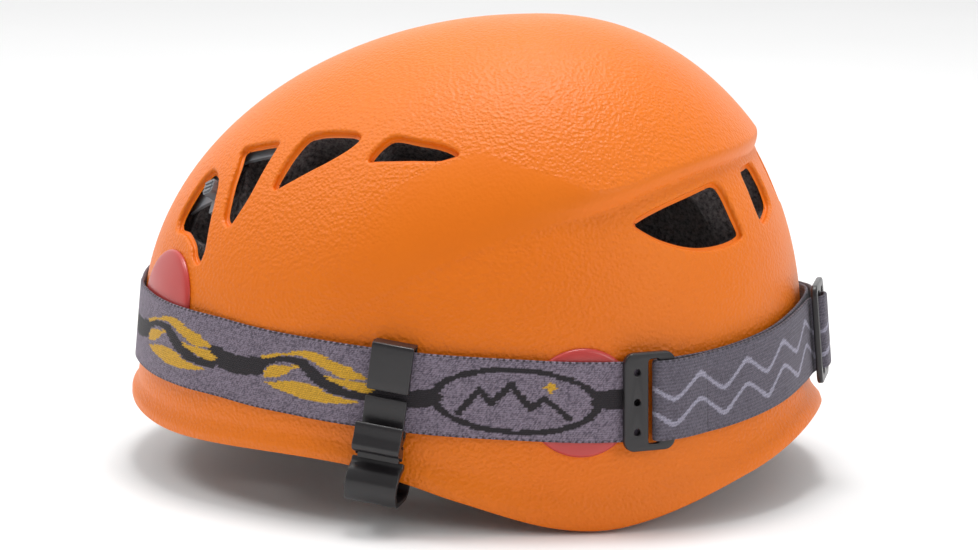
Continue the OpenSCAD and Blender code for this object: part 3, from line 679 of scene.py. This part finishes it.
def build_liner():
    cols = 181
    a_half = np.linspace(0, 180, cols)
    outer_v, hollow_v = np.linspace(2, 88.5, 96), np.linspace(88.5, 2, 60)
    layers = []
    for rows in (outer_v, hollow_v):
        par, t = holed_grid(a_half, rows[:, None], (FOAM_CUT,))
        off = FOAM_FACE if rows is outer_v else foam_inner(par[:, 1])
        at = skin(par[:, 0], par[:, 1], off)
        if rows is outer_v:
            at = shutter_recess(at)
        layers.append((par, t, pin_seam(at, par[:, 0])))
    (par, outer_t, outer_p), (_, hollow_t, hollow_p) = layers
    hollow = len(outer_p)
    pos = np.vstack([outer_p, hollow_p])
    # walls of the vents
    loop = edge_loop(outer_t, par, FOAM_CUT)
    ids = sorted({i for e in loop for i in e})
    rings = []
    for f in np.linspace(0.15, 1, 7):
        off = FOAM_FACE * (1 - f) + foam_inner(par[ids, 1]) * f
        rings.append(shutter_recess(skin(par[ids, 0], par[ids, 1], off)))
    faces = ring_walls(loop, ids, len(rings), len(pos))
    pos = np.vstack([pos] + rings)
    # lower edge
    low = skin(a_half, 89.6, FOAM_FACE - FOAM_EDGE / 2)
    low[[0, -1], 0] = 0
    edge = len(pos) + np.arange(cols)
    pos = np.vstack([pos, low])
    faces += bridge(np.arange(cols) + (len(outer_v) - 1) * cols, edge).tolist()
    faces += bridge(edge, hollow + np.arange(cols)).tolist()
    # crown
    top = len(pos)
    pos = np.vstack([pos, [[0, CROWN_Y, H + FOAM_FACE]], [[0, CROWN_Y, H + foam_inner(2.0)]]])
    faces += [[top, i, i + 1] for i in range(cols - 1)]
    last = hollow + (len(hollow_v) - 1) * cols
    faces += [[top + 1, last + i + 1, last + i] for i in range(cols - 1)]
    return pos, np.vstack([outer_t, hollow_t + hollow, np.array(faces, int)])


liner = to_object("liner_moulding", *mirrored(*build_liner()), MAT_FOAM)
place(liner, "helmet", "foam", "foam_liner")

# ---- lamp strap
STRAP_H, STRAP_T = 31.0, 1.3
# height of the strap's top edge, and its gap from the shell where it crosses the discs and clips
TOP = [[0, 74.4], [25, 73.9], [38, 73], [55, 72.3], [64, 71], [80, 69.2], [92, 67.4], [106, 66.1],
       [116, 64.9], [125, 64.4], [133, 64.7], [142, 65.6], [152, 67.5], [160, 69.3], [170, 72], [180, 73.2]]
LIFT = [[0, 0.75], [15, 0.75], [23, 2.2], [47, 2.2], [56, 0.6], [72, 0.6], [79, 2.55], [97, 2.55],
        [102, 2.2], [180, 2.2]]


def strap_top(a):
    return curve(fold(a), TOP)


def across(a, off, t):
    """Point on the strap's run, from its bottom edge at t = 0 to its top edge at 1."""
    lo = wall(a, strap_top(a) - STRAP_H, off)
    hi = wall(a, strap_top(a), off)
    t = np.asarray(t, float)[..., None]
    return lo * (1 - t) + hi * t


def lift(a):
    """Distance of the strap's middle layer from the shell."""
    return curve(fold(a), LIFT) + STRAP_T / 2


def smooth_path(keys, step):
    """Points along a list of [angle, layer], evenly spaced, about step mm apart."""
    pts = open_curve(keys, 24)
    mid = across(pts[:, 0], pts[:, 1], np.full(len(pts), 0.5))
    s = lengths(mid)
    n = max(int(s[-1] / step), 8)
    u = np.linspace(0, s[-1], n + 1)
    return np.column_stack([np.interp(u, s, pts[:, 0]), np.interp(u, s, pts[:, 1])]), u


def ribbon(name, keys, mat, paint, zero_at):
    """Closed band along keys; paint colours it by the distance from the angle zero_at."""
    path, u = smooth_path(keys, 0.5)
    zero = u[np.argmin(np.abs(path[:, 0] - zero_at))]
    per_deg = 2.1
    g = np.gradient(path, axis=0)
    g[:, 0] *= per_deg
    g = unit(g)
    side = np.column_stack([-g[:, 1] / per_deg, g[:, 0]])
    t = np.linspace(0, 1, 65)
    half = STRAP_T / 2 * (0.45 + 0.55 * np.sqrt(np.clip(np.minimum(t, 1 - t) * STRAP_H / 0.6, 0, 1)))
    verts, uvs, cols = [], [], []
    for sign, order in ((1, slice(None)), (-1, slice(None, None, -1))):
        hh = sign * half[order]
        A = path[:, 0][:, None] + side[:, 0][:, None] * hh[None]
        O = path[:, 1][:, None] + side[:, 1][:, None] * hh[None]
        T = np.broadcast_to(t[order], A.shape)
        U, V = np.broadcast_to((u - zero)[:, None], A.shape), (T - 0.5) * STRAP_H
        verts.append(across(A, O, T))
        uvs.append(np.stack([U, V], -1))
        cols.append(paint(U, V, np.broadcast_to(path[:, 0][:, None], A.shape)))
    P = np.concatenate(verts, 1)
    ob = to_object(name, P.reshape(-1, 3), tube_faces(*P.shape[:2]), mat)
    add_uv(ob, np.concatenate(uvs, 1))
    layer = ob.data.color_attributes.new("paint", "FLOAT_COLOR", "POINT")
    layer.data.foreach_set("color", np.concatenate(cols, 1).reshape(-1, 4).astype(np.float32).ravel())
    return ob, round(float(u[-1]) / 1000, 4)


def lin(r, g, b):
    return np.array(rgb(r, g, b))


LILAC, LILAC_DARK = lin(128, 117, 132), lin(92, 83, 97)
BLACK_YARN, GOLD = lin(34, 29, 34), lin(204, 156, 42)
GREY_REAR, WAVE = lin(98, 93, 105), lin(150, 147, 164)
run_a = np.arange(0, 180.5, 0.5)
run_s = lengths(skin(run_a, 90.0, lift(run_a) + STRAP_T / 2))


def run_length(a):
    """Distance around the strap from the middle of the brow, in mm."""
    return np.interp(fold(a), run_a, run_s)


def heather(shape, one, two, share):
    """Mottled yarn in two colours."""
    c = np.empty(shape + (4,))
    c[:] = one
    fleck = rng.random(shape)[..., None] < share
    c = np.where(fleck, two, c)
    c[..., :3] *= np.clip(1 + 0.10 * rng.standard_normal(shape), 0.7, 1.3)[..., None]
    return c


def near_line(u, v, pts):
    """Distance to a polyline of (u, v, half width), less the half width there."""
    best = np.full(u.shape, 50.0)
    for (u0, v0, w0), (u1, v1, w1) in zip(pts[:-1], pts[1:]):
        du, dv = u1 - u0, v1 - v0
        t = np.clip(((u - u0) * du + (v - v0) * dv) / (du * du + dv * dv), 0, 1)
        best = np.minimum(best, np.hypot(u - u0 - t * du, v - v0 - t * dv) - (w0 + (w1 - w0) * t))
    return best


def inside_of(u, v, pts):
    """True inside a closed outline of (u, v)."""
    hit = np.zeros(u.shape, int)
    for (u0, v0), (u1, v1) in zip(pts, pts[1:] + pts[:1]):
        if v0 != v1:
            hit += ((v0 > v) != (v1 > v)) & (u < (u1 - u0) * (v - v0) / (v1 - v0) + u0)
    return hit % 2 == 1


def rear_wave(u, v):
    """True on the two wavy lines; u is the distance from the middle of the back."""
    x = np.sin(2 * np.pi * (np.abs(u) - 59.4) / 24.0)
    w = 3.9 * (0.62 * np.arcsin(0.96 * x) / 1.29 + 0.38 * x)
    return np.minimum(np.abs(v - 4.3 - w), np.abs(v + 5.4 - w)) < 0.95


def paint_rear(u, v, a):
    c = heather(u.shape, GREY_REAR, lin(84, 79, 90), 0.3)
    back = np.clip(run_s[-1] - run_length(a), 0, 110)
    on = rear_wave(back, np.round(v / 0.5) * 0.5)
    c = np.where(on[..., None], WAVE * (0.85 + 0.3 * rng.random(u.shape))[..., None], c)
    picot = (np.abs(v) > 14.7) & (np.mod(u, 2.4) < 1.2)
    return np.where(picot[..., None], lin(66, 62, 72), c)


# one group of woven flames in mm along and across the strap: gold blades, and the black spine that
# has a half width at each point; OVAL is middle and half axes, with a mountain ridge inside it
BLADES = [
    [(139, 4.9), (147, 7.1), (158, 10.1), (165, 10.5), (172, 8.5), (180, 6.6), (187, 3.3), (178, 1.6),
     (168, 5.1), (158, 8.2), (149, 6.6), (141, 3.9)],
    [(141.4, -1), (144, 1.8), (149.5, 3.2), (158, 3.9), (154, 2), (151.6, -0.4), (147, -1.9), (142, -3.2)],
    [(142, -4.8), (151.6, -2.7), (158.4, -1.9), (165.3, -2.5), (172, -4.7), (180, -5.8), (184.2, -5.8),
     (178, -7.4), (170, -8.5), (158.5, -8.6), (151.6, -7), (145.7, -6.1)],
    [(168, 2.2), (174, 1.6), (180, 1.4), (186, 1.4), (190.5, -0.5), (186.6, -2.2), (180.2, -1.6),
     (174.8, -0.4)],
]
SPINE = [(116, 0.4, 3.7), (127, -0.8, 3.7), (138, 0.4, 3.5), (143, 3.6, 1.5), (148, 5, 1.1), (155, 6, 1.2),
         (160, 4.6, 2.2), (165, 1.4, 2.6), (172, -1.8, 2.3), (179, -3.4, 1.5), (187, -3.2, 2.2)]
GROUPS = (0, 72, 144)
TIES = [[(187, -3.2, 2.4), (200, -2.8, 3.4), (208, -2, 3.4), (213, -0.6, 3.0), (216, -0.4, 0.6)],
        [(273, 0, 1), (277, 1.2, 3.5), (286, 1.2, 4.2), (300, 1.2, 4.4)]]
OVAL = (244.0, -0.4, 31.0, 12.0)
RIDGE = [(-22, -5.5, 1.2), (-14, 3.6, 1.2), (-9.5, -1.4, 1.2), (-2, 6.2, 1.3), (5.5, -2.6, 1.2),
         (10.5, 1.6, 1.1), (20, -5.5, 1.2)]


def paint_front(u, v, a):
    c = heather(u.shape, LILAC, LILAC_DARK, 0.33)
    s = run_length(a)
    q = np.round(s / 0.8) * 0.8 + 0.25 * np.where(np.mod(np.round(v / 0.8), 2) > 0, 1, -1)
    w = np.round(v / 0.6) * 0.6
    black = np.zeros(u.shape, bool)
    gold = np.zeros(u.shape, bool)
    for g in GROUPS:
        black |= near_line(q, w, [(x - g, y, h) for x, y, h in SPINE]) < 0
        for b in BLADES:
            gold |= inside_of(q, w, [(x - g, y) for x, y in b])
    for line in TIES:
        black |= near_line(q, w, line) < 0
    ring = np.hypot((q - OVAL[0]) / OVAL[2], (w - OVAL[1]) / OVAL[3])
    black |= np.abs(ring - 1) < np.where(np.abs(q - OVAL[0]) > 22, 0.062, 0.082)
    black |= near_line(q - OVAL[0], w - OVAL[1], RIDGE) < 0
    gold |= (np.abs(q - OVAL[0] - 13) + np.abs(w - OVAL[1] - 5.8)) < 2.5
    tone = (0.85 + 0.3 * rng.random(u.shape))[..., None]
    c = np.where(black[..., None], BLACK_YARN * tone, c)
    c = np.where(gold[..., None], GOLD * tone, c)
    picot = (np.abs(v) > 14.6) & (np.mod(u, 2.5) < 1.1)
    return np.where(picot[..., None], lin(50, 43, 50), c)


def laid(first, last, over=0.0):
    return [[float(a), float(lift(a)) + over] for a in range(first, last, 4)]


def round_back(keys):
    """The same keys beyond the middle of the back, in reverse."""
    return [[360 - a, o] for a, o in keys[::-1]]


half = laid(4, 117) + [[119, 2.9], [122, 2.9], [125, 2.9], [127.3, 2.9]]
keys = [[-a, o] for a, o in half[::-1]] + [[0, float(lift(0))]] + half
strap_front, front_len = ribbon("strap_front_elastic", keys, MAT_FRONT, paint_front, 0)
place(strap_front, "helmet", "strap_front", "lamp_strap_front")

rear_wrap = [[139.5, 5.3], [136.7, 6.7], [133.8, 7.8], [131.5, 7.8], [130.2, 7.4], [129.5, 6.5],
             [129.25, 5], [129.35, 3.9], [129.9, 3.1], [131.2, 2.85], [133.5, 2.85], [137, 2.85]]
under = laid(140, 181)
keys = rear_wrap + under + round_back(under[:-1]) + round_back(rear_wrap)
strap_rear, rear_len = ribbon("strap_rear_elastic", keys, MAT_REAR, paint_rear, 180)
place(strap_rear, "helmet", "strap_rear", "lamp_strap_rear")

run = [[139.6, 5.3]] + laid(142, 171, 2.2)
loop_keys = [[174, 5.2], [176.4, 5.5], [177.6, 6.4], [178, 7.6], [178.05, 9.2], [178.4, 10.6],
             [179.3, 11.2], [180, 11.3]]
keys = run + loop_keys + round_back(loop_keys[:-1]) + round_back(run)
strap_tail, tail_len = ribbon("strap_tail_elastic", keys, MAT_REAR, paint_rear, 180)
place(strap_tail, "helmet", "strap_rear", "lamp_strap_tail")


# ---- clip discs, buckles, slider
def clip_disc(name, a0, z0, replaced, flip):
    """Round cap with a soft edge that follows the shell."""
    edge, flat = 21.0, 19.4
    radii = np.concatenate([[0.01], np.linspace(2, flat, 10),
                            edge - 1.2 * (1 - np.sin(np.linspace(0.25, 1.57, 6)))])
    heights = 0.3 + 1.5 * np.sqrt(np.clip(1 - np.clip((radii - flat) / 1.6, 0, 1) ** 2, 0, 1))
    rings = [*zip(radii, heights), (edge, 0.3), (15, 0.3), (0.01, 0.3)]
    turns = np.linspace(0, 2 * np.pi, 72, endpoint=False)
    m = len(turns)
    per_deg = np.linalg.norm(face(a0 + 1, 90) - face(a0 - 1, 90)) / 2
    P = np.vstack([wall(a0 + r * np.cos(turns) / per_deg, z0 + r * np.sin(turns), np.full(m, h))
                   for r, h in rings])
    quads = [[i * m + j, i * m + (j + 1) % m, (i + 1) * m + (j + 1) % m, (i + 1) * m + j]
             for i in range(len(rings) - 1) for j in range(m)]
    if flip:
        P = P * [-1, 1, 1]
    else:
        quads = [q[::-1] for q in quads]
    place(to_object(name, P, quads, MAT_DISC), "helmet", "clip_disc", replaced)


SIDES = (("left", False), ("right", True))
for hand, flip in SIDES:
    clip_disc(f"clip_disc_front_{hand}", 35.3, 71, f"lamp_clip_front_{hand}", flip)
    clip_disc(f"clip_disc_rear_{hand}", 117, 48.7, f"lamp_clip_rear_{hand}", flip)


def strap_matrix(a, off):
    """Axes along, up and out from the strap's middle at an angle."""
    p = across(a, off, 0.5)
    y = across(a, off, 1.0) - across(a, off, 0.0)
    y /= np.linalg.norm(y)
    x = np.cross(y, face_normal(a, 90.0))
    x /= np.linalg.norm(x)
    n = np.cross(x, y)
    return Matrix([*np.column_stack([x, y, n, (p + SEAT) / 1000]).tolist(), (0, 0, 0, 1)])


def round_rect(w, h, r, cx=0.0, n=8):
    pts = []
    for sx, sy, a0 in ((1, 1, 0), (-1, 1, 90), (-1, -1, 180), (1, -1, 270)):
        for k in range(n + 1):
            t = math.radians(a0 + 90 * k / n)
            pts.append((cx + sx * (w / 2 - r) + r * math.cos(t), sy * (h / 2 - r) + r * math.sin(t)))
    return pts


def ring_points(cx, cy, r, n=24):
    turns = [2 * math.pi * k / n for k in range(n)]
    return [(cx + r * math.cos(t), cy + r * math.sin(t)) for t in turns]


def plate(name, outline, holes, thick, bevel):
    """Bevelled plate from 2-D outlines in mm, its middle at z = 0."""
    cu = bpy.data.curves.new(name, "CURVE")
    cu.dimensions = "2D"
    cu.fill_mode = "BOTH"
    cu.extrude = (thick / 2 - bevel) / 1000
    cu.bevel_depth = bevel / 1000
    cu.bevel_resolution = 3
    cu.offset = -bevel / 1000
    for pts in [outline] + list(holes):
        sp = cu.splines.new("POLY")
        sp.points.add(len(pts) - 1)
        for k, p in enumerate(pts):
            sp.points[k].co = (p[0] / 1000, p[1] / 1000, 0, 1)
        sp.use_cyclic_u = True
    tmp = show(name + "_c", cu)
    dg = bpy.context.evaluated_depsgraph_get()
    me = bpy.data.meshes.new_from_object(tmp.evaluated_get(dg))
    me.name = name
    bpy.data.objects.remove(tmp)
    me.materials.clear()
    me.materials.append(MAT_BLACK)
    me.polygons.foreach_set("use_smooth", [True] * len(me.polygons))
    soft_edges(me, 35)
    return show(name, me)


def soft_edges(me, angle):
    """Smooth shading, but for edges sharper than the angle."""
    me.update()
    bm = bmesh.new()
    bm.from_mesh(me)
    bmesh.ops.remove_doubles(bm, verts=bm.verts, dist=1e-6)
    for e in bm.edges:
        e.smooth = not (len(e.link_faces) == 2 and e.calc_face_angle(0) > math.radians(angle))
    bm.to_mesh(me)
    bm.free()


def settle(ob, matrix, flip):
    """Moves the mesh to its place on the left, or mirrors it to the right."""
    ob.data.transform(matrix)
    if flip:
        ob.data.transform(Matrix.Scale(-1, 4, (1, 0, 0)))
        ob.data.flip_normals()


for hand, flip in SIDES:
    holes = [round_rect(4.4, 32.6, 1.2, 1.6)] + [ring_points(-5.2, y, 1.25) for y in (-11.5, 0, 11.5)]
    ob = plate(f"buckle_{hand}", round_rect(20.8, 38, 4.2), holes, 2.6, 0.6)
    settle(ob, strap_matrix(128.2, 5.0), flip)
    place(ob, "helmet", "black_plastic", f"strap_buckle_{hand}")

slots = [round_rect(5.6, 33.6, 1.6, x) for x in (-5.2, 5.2)]
ob = plate("slider_rear", round_rect(24, 40, 4), slots, 2.4, 0.7)
settle(ob, strap_matrix(180.0, 8.3), False)
place(ob, "helmet", "black_plastic", "strap_slider_rear")


# ---- rim clips
def smooth_poly(pts):
    q = np.array(pts, float)
    n = len(q)
    t = np.linspace(0, 1, 4, endpoint=False)[:, None]
    tight = 0.3
    out = []
    for i in range(n):
        p0, p1, p2, p3 = q[i - 1], q[i], q[(i + 1) % n], q[(i + 2) % n]
        m1, m2 = (p2 - p0) * tight, (p3 - p1) * tight
        out.append((2 * t**3 - 3 * t**2 + 1) * p1 + (t**3 - 2 * t**2 + t) * m1
                   + (-2 * t**3 + 3 * t**2) * p2 + (t**3 - t**2) * m2)
    return [tuple(p) for p in np.vstack(out)]


# (outward from the wall, height): cover plates with the arm behind the strap, finger tab, rim hook
PLATES = [(4.6, 53.8), (6.6, 53.8), (6.4, 69.4), (5.4, 71.1), (0.4, 71.3), (-0.4, 70.3), (0.3, 62),
          (0.45, 55), (0.55, 48), (0.8, 42), (1.0, 37.2), (1.2, 34.6), (3.4, 32.6), (5.2, 29),
          (5.4, 25), (7.6, 25),
          (7.9, 28), (7.5, 31), (7.1, 33.8), (6.9, 49.2), (6.2, 50), (5.2, 49.4), (5.1, 36), (2.7, 35.5),
          (2.0, 42), (1.7, 48), (1.6, 55), (1.45, 62), (1.0, 69.9), (4.5, 69.9)]
TAB = [(6.6, 27), (8.2, 28.4), (11.6, 29.4), (14, 30.8), (14.6, 32.8), (13.4, 36), (12.8, 40.4), (12, 41.2),
       (11.1, 40.6), (11.2, 36), (11, 33.6), (9, 32.6), (6.8, 32.8)]
HOOK = [(5.4, 25.6), (5.4, 23.4), (7.6, 22.4), (10.4, 21), (12.2, 18.4), (12.3, 15.2), (10.6, 12.5),
        (7.6, 11.1), (-2.6, 10.9), (-5.6, 12.4), (-6.5, 15.4), (-6.5, 19.4), (-7.4, 20.3), (-8.4, 19.6),
        (-8.5, 14.6), (-7.0, 10.9), (-3.4, 8.9), (8.4, 9.0), (12.4, 10.8), (14.4, 14.6), (14.3, 19),
        (12.2, 22.6), (8.6, 24.6), (7.6, 26.4)]
CLIP_A, CLIP_TILT = 87.9, 7.0


def clip_matrix():
    p = face(CLIP_A, 90.0) + SEAT
    n = face_normal(CLIP_A, 90.0)
    t = math.atan2(n[1], n[0])
    mid = Matrix.Translation((0, 0.053, 0))
    return (Matrix.Translation((p[0] / 1000, p[1] / 1000, SEAT[2] / 1000)) @ Matrix.Rotation(t, 4, "Z")
            @ Matrix.Rotation(math.pi / 2, 4, "X") @ mid
            @ Matrix.Rotation(math.radians(-CLIP_TILT), 4, "X") @ mid.inverted())


# the hook stands for the whole clip's node, and the other pieces ride beside it
CLIP_PIECES = (("hook", HOOK, 20.4, 0.6), ("tab", TAB, 18.6, 0.5), ("plates", PLATES, 16.4, 0.4))
for hand, flip in SIDES:
    for piece, line, wide, soft in CLIP_PIECES:
        ob = plate(f"rim_clip_{piece}_{hand}", smooth_poly(line), [], wide, soft)
        settle(ob, clip_matrix(), flip)
        replaced = [f"rim_clip_{hand}"] if piece == "hook" else []
        place(ob, f"rim_clip_{hand}", "black_plastic", *replaced)


# ---- webbing inside
WEB_W, WEB_T, WEB_OFF = 15.0, 1.5, -23.8
WEB_FRONT = [[68, 93.5, -4.8], [68, 97.2, -6], [68, 98.6, -12], [68.5, 98.2, -20], [69, 97.2, WEB_OFF],
             [70.5, 93.5, WEB_OFF], [76, 87, WEB_OFF], [83, 79, WEB_OFF], [88, 73, WEB_OFF]]
WEB_REAR = [[116, 93.8, -4.8], [116, 92.3, -6.5], [116, 91.6, -13], [115.5, 90.8, -20],
            [114, 88.6, WEB_OFF], [108, 85, WEB_OFF], [101, 78, WEB_OFF], [97, 73, WEB_OFF]]
WEB_UPPER = [[92, 66, WEB_OFF], [92, 55, WEB_OFF], [92, 42, WEB_OFF]]


def web(name, keys, flip, rests, *replaced):
    """Flat webbing along keys of [a, v, distance from the face]."""
    p = open_curve(keys, 14)
    mid = skin(p[:, 0], p[:, 1], p[:, 2])
    t = unit(np.gradient(mid, axis=0))
    h = unit(np.cross([0, 0, 1], face_normal(p[:, 0], p[:, 1])))
    s = unit(h - t * (h * t).sum(1, keepdims=True))
    d = np.cross(t, s)
    u = lengths(mid)
    k = np.linspace(-1, 1, 25)
    thick = WEB_T / 2 * (0.45 + 0.55 * np.sqrt(np.clip((1 - np.abs(k)) / 0.12, 0, 1)))
    thick = thick * (1 + 0.04 * np.cos(k * np.pi * 7))
    rings, uvs = [], []
    for sign, order in ((1, slice(None, None, -1)), (-1, slice(None))):
        kk, tt = k[order], thick[order]
        rings.append(mid[:, None] + sign * d[:, None] * tt[None, :, None]
                     + s[:, None] * kk[None, :, None] * WEB_W / 2)
        uvs.append(np.stack(np.broadcast_arrays(u[:, None], kk * WEB_W / 2), -1))
    P = np.concatenate(rings, 1)
    faces = tube_faces(*P.shape[:2])
    if flip:
        P = P * [-1, 1, 1]
    else:
        faces = [f[::-1] for f in faces]
    ob = to_object(name, P.reshape(-1, 3), faces, MAT_WEB)
    add_uv(ob, np.concatenate(uvs, 1))
    place(ob, "helmet", "webbing", *replaced)


for hand, flip in SIDES:
    web(f"chin_strap_front_{hand}", WEB_FRONT, flip, ["foam_liner", "headband_front"],
        f"chin_web_{hand}")
    web(f"chin_strap_rear_{hand}", WEB_REAR, flip, ["foam_liner"])
    web(f"chin_strap_upper_{hand}", WEB_UPPER, flip, ["foam_liner"], f"chin_web_upper_{hand}")


# ---- pads
def cushion(name, back, top, nu, nv, replaced, channels=()):
    """Padded cloth between two faces given as functions of (s, t), both from -1 to 1."""
    s, t = np.meshgrid(np.linspace(-1, 1, nu), np.linspace(-1, 1, nv))
    ss = s * (1 - 0.05 * np.abs(t) ** 6)
    tt = t * (1 - 0.12 * np.abs(s) ** 10)
    rise = np.clip(1 - np.abs(s) ** 14, 0, 1) ** 0.5 * np.clip(1 - np.abs(t) ** 7, 0, 1) ** 0.5
    puff = 0.12 + 0.84 * rise
    for c, axis in channels:
        x = s if axis == 0 else t
        puff = puff - 0.34 * np.exp(-((x - c) / (0.03 if axis == 0 else 0.07)) ** 2) * rise
    puff = puff - 0.05 * np.exp(-((1 - np.maximum(np.abs(s), np.abs(t)) - 0.06) / 0.02) ** 2)
    B, F = back(ss, tt), top(ss, tt)
    front = B + (F - B) * puff[..., None]
    rear = B + (F - B) * 0.02
    P = np.concatenate([front.reshape(-1, 3), rear.reshape(-1, 3)])
    n = nu * nv
    i, j = np.meshgrid(np.arange(nv - 1), np.arange(nu - 1), indexing="ij")
    a = (i * nu + j).ravel()
    q = np.stack([a, a + 1, a + nu + 1, a + nu], -1)
    edge = list(range(nu)) + [k * nu + nu - 1 for k in range(1, nv)] + [
        (nv - 1) * nu + k for k in range(nu - 2, -1, -1)] + [k * nu for k in range(nv - 2, 0, -1)]
    quads = q.tolist() + (q[:, ::-1] + n).tolist()
    quads += [[x, x + n, y + n, y] for x, y in zip(edge, edge[1:] + edge[:1])]
    mid = (nv // 2) * nu + nu // 2
    n_out = np.cross(P[mid + 1] - P[mid], P[mid + nu] - P[mid])
    if np.dot(n_out, (F - B).reshape(-1, 3)[mid]) < 0:
        quads = [f[::-1] for f in quads]
    ob = to_object(name, P, quads, MAT_PAD)
    place(ob, "helmet", "pad", replaced)


def brow_point(off):
    def at(s, t):
        a = 46 * s
        p = face(a, 90.0) + face_normal(a, np.full(a.shape, 90.0)) * off
        p[..., 2] = 42 + 7.5 * t
        return p
    return at


def crown_point(a0, half_a, v0, half_v, off):
    return lambda s, t: skin(a0 + half_a * s, v0 + half_v * t, off)


KNOB = np.array([0, 116.5, 24.0])


def nape_point(depth, shrink):
    def at(s, t):
        return np.stack([36 * s * (1 - shrink * 0.1), np.full(s.shape, KNOB[1] - 4.7 - depth),
                         KNOB[2] + 16.5 * t * (1 - shrink * 0.14)], -1)
    return at


# channels are (place, 0 for a line up the pad or 1 for a line along it)
cushion("pad_brow", brow_point(-21.7), brow_point(-27.2), 121, 21, "brow_pad",
        [(c, 0) for c in (-0.6, -0.2, 0.2, 0.6)])
for name, spot in (("front", (0, 26, 27.5, 12.5)), ("rear", (180, 30, 25.5, 10.5))):
    cushion(f"pad_crown_{name}", crown_point(*spot, -21.2), crown_point(*spot, -26.0), 61, 41,
            f"crown_pad_{name}", [(0.0, 0)])
cushion("pad_nape", nape_point(0.0, 0), nape_point(5.0, 1), 71, 41, "nape_pad",
        [(-0.5, 0), (0.5, 0), (0.0, 1)])

# ---- CAD nodes that stay
KEEP = {
    MAT_GREY: ["vent_shutter_left", "vent_shutter_right"],
    MAT_BAND: ["headband_front", "headband_anchors", "rack_band_left", "rack_band_right", "cradle_housing",
               "cradle_cover"],
    MAT_BLACK: ["adjust_knob", "strap_divider_left", "strap_divider_right", "chin_socket", "chin_plug"],
    MAT_GEAR: ["knob_pinion"],
}
for mat, names in KEEP.items():
    for n in names:
        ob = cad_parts[n]
        ob.data.materials.clear()
        ob.data.materials.append(mat)

# ---- camera, light, floor
IMAGE_W, IMAGE_H = 978, 550
TARGET = Vector((0, -0.0149, 0.08629))
AZ, EL, ROLL, DIST = math.radians(102.67), math.radians(11.143), math.radians(0.376), 1.3
back = Vector((math.sin(AZ) * math.cos(EL), -math.cos(AZ) * math.cos(EL), math.sin(EL)))
cam_data = bpy.data.cameras.new("camera")
cam = show("camera", cam_data)
cam.location = TARGET + back * DIST
rot = back.to_track_quat("Z", "Y").to_matrix().to_4x4()
cam.matrix_world = Matrix.Translation(cam.location) @ rot @ Matrix.Rotation(ROLL, 4, "Z")
cam_data.sensor_width = 36
cam_data.lens = 2.434 * 1300 / IMAGE_W * cam_data.sensor_width    # 2.434 pixels for each mm at TARGET
cam_data.shift_x = (IMAGE_W / 2 - 445.29) / IMAGE_W
cam_data.shift_y = -(IMAGE_H / 2 - 248.78) / IMAGE_W
cam_data.clip_end = 20
bpy.context.scene.camera = cam


def area(name, loc, target, size, power):
    li = bpy.data.lights.new(name, "AREA")
    li.shape = "DISK"
    li.size = size
    li.energy = power
    ob = show(name, li)
    ob.location = loc
    ob.rotation_euler = (Vector(target) - Vector(loc)).to_track_quat("-Z", "Y").to_euler()


area("key", (0.2, -1.1, 1.5), (0, 0, 0.12), 0.6, 6.5)
area("fill", (0.9, 1.5, 0.8), (0, 0, 0.06), 0.8, 6)
area("top", (-0.2, 0.0, 1.8), (0, 0, 0.12), 0.7, 17)

FLOOR_Z = -0.0008
floor_me = bpy.data.meshes.new("floor")
floor_me.from_pydata([(x, y, FLOOR_Z) for x, y in ((-6, -6), (6, -6), (6, 6), (-6, 6))], [],
                     [(0, 1, 2, 3)])
floor = show("floor", floor_me)
fm, fnt, fb = material("floor_pale")
link(fnt, mix(fnt, noise(fnt, coords(fnt), 3, 2), (0.90, 0.90, 0.90, 1), (0.94, 0.94, 0.94, 1)),
     fb.inputs["Base Color"])
put(fb, Roughness=0.9)
floor_me.materials.append(fm)

world = bpy.data.worlds.new("studio")
bpy.context.scene.world = world
world.use_nodes = True
wnt = world.node_tree
bg = wnt.nodes["Background"]
bg.inputs[0].default_value = (1, 1, 1, 1)
# a white backdrop behind the helmet and above it, dimmer on the near side
way = node(wnt, "ShaderNodeTexCoord").outputs["Generated"]
turn = node(wnt, "ShaderNodeVectorMath", operation="DOT_PRODUCT")
link(wnt, way, turn.inputs[0])
turn.inputs[1].default_value = (-0.976, -0.219, 0.0)
axes = node(wnt, "ShaderNodeSeparateXYZ")
link(wnt, way, axes.inputs[0])
far_side = calc(wnt, "POWER", calc(wnt, "MULTIPLY_ADD", turn.outputs["Value"], 0.5, 0.5, clamp=True), 2.0)
above = calc(wnt, "POWER", calc(wnt, "MAXIMUM", axes.outputs[2], 0.0), 1.5)
link(wnt, calc(wnt, "ADD", calc(wnt, "MULTIPLY_ADD", far_side, 1.0, 0.26),
               calc(wnt, "MULTIPLY", above, 0.25)), bg.inputs[1])
bpy.context.scene.view_settings.view_transform = "Standard"
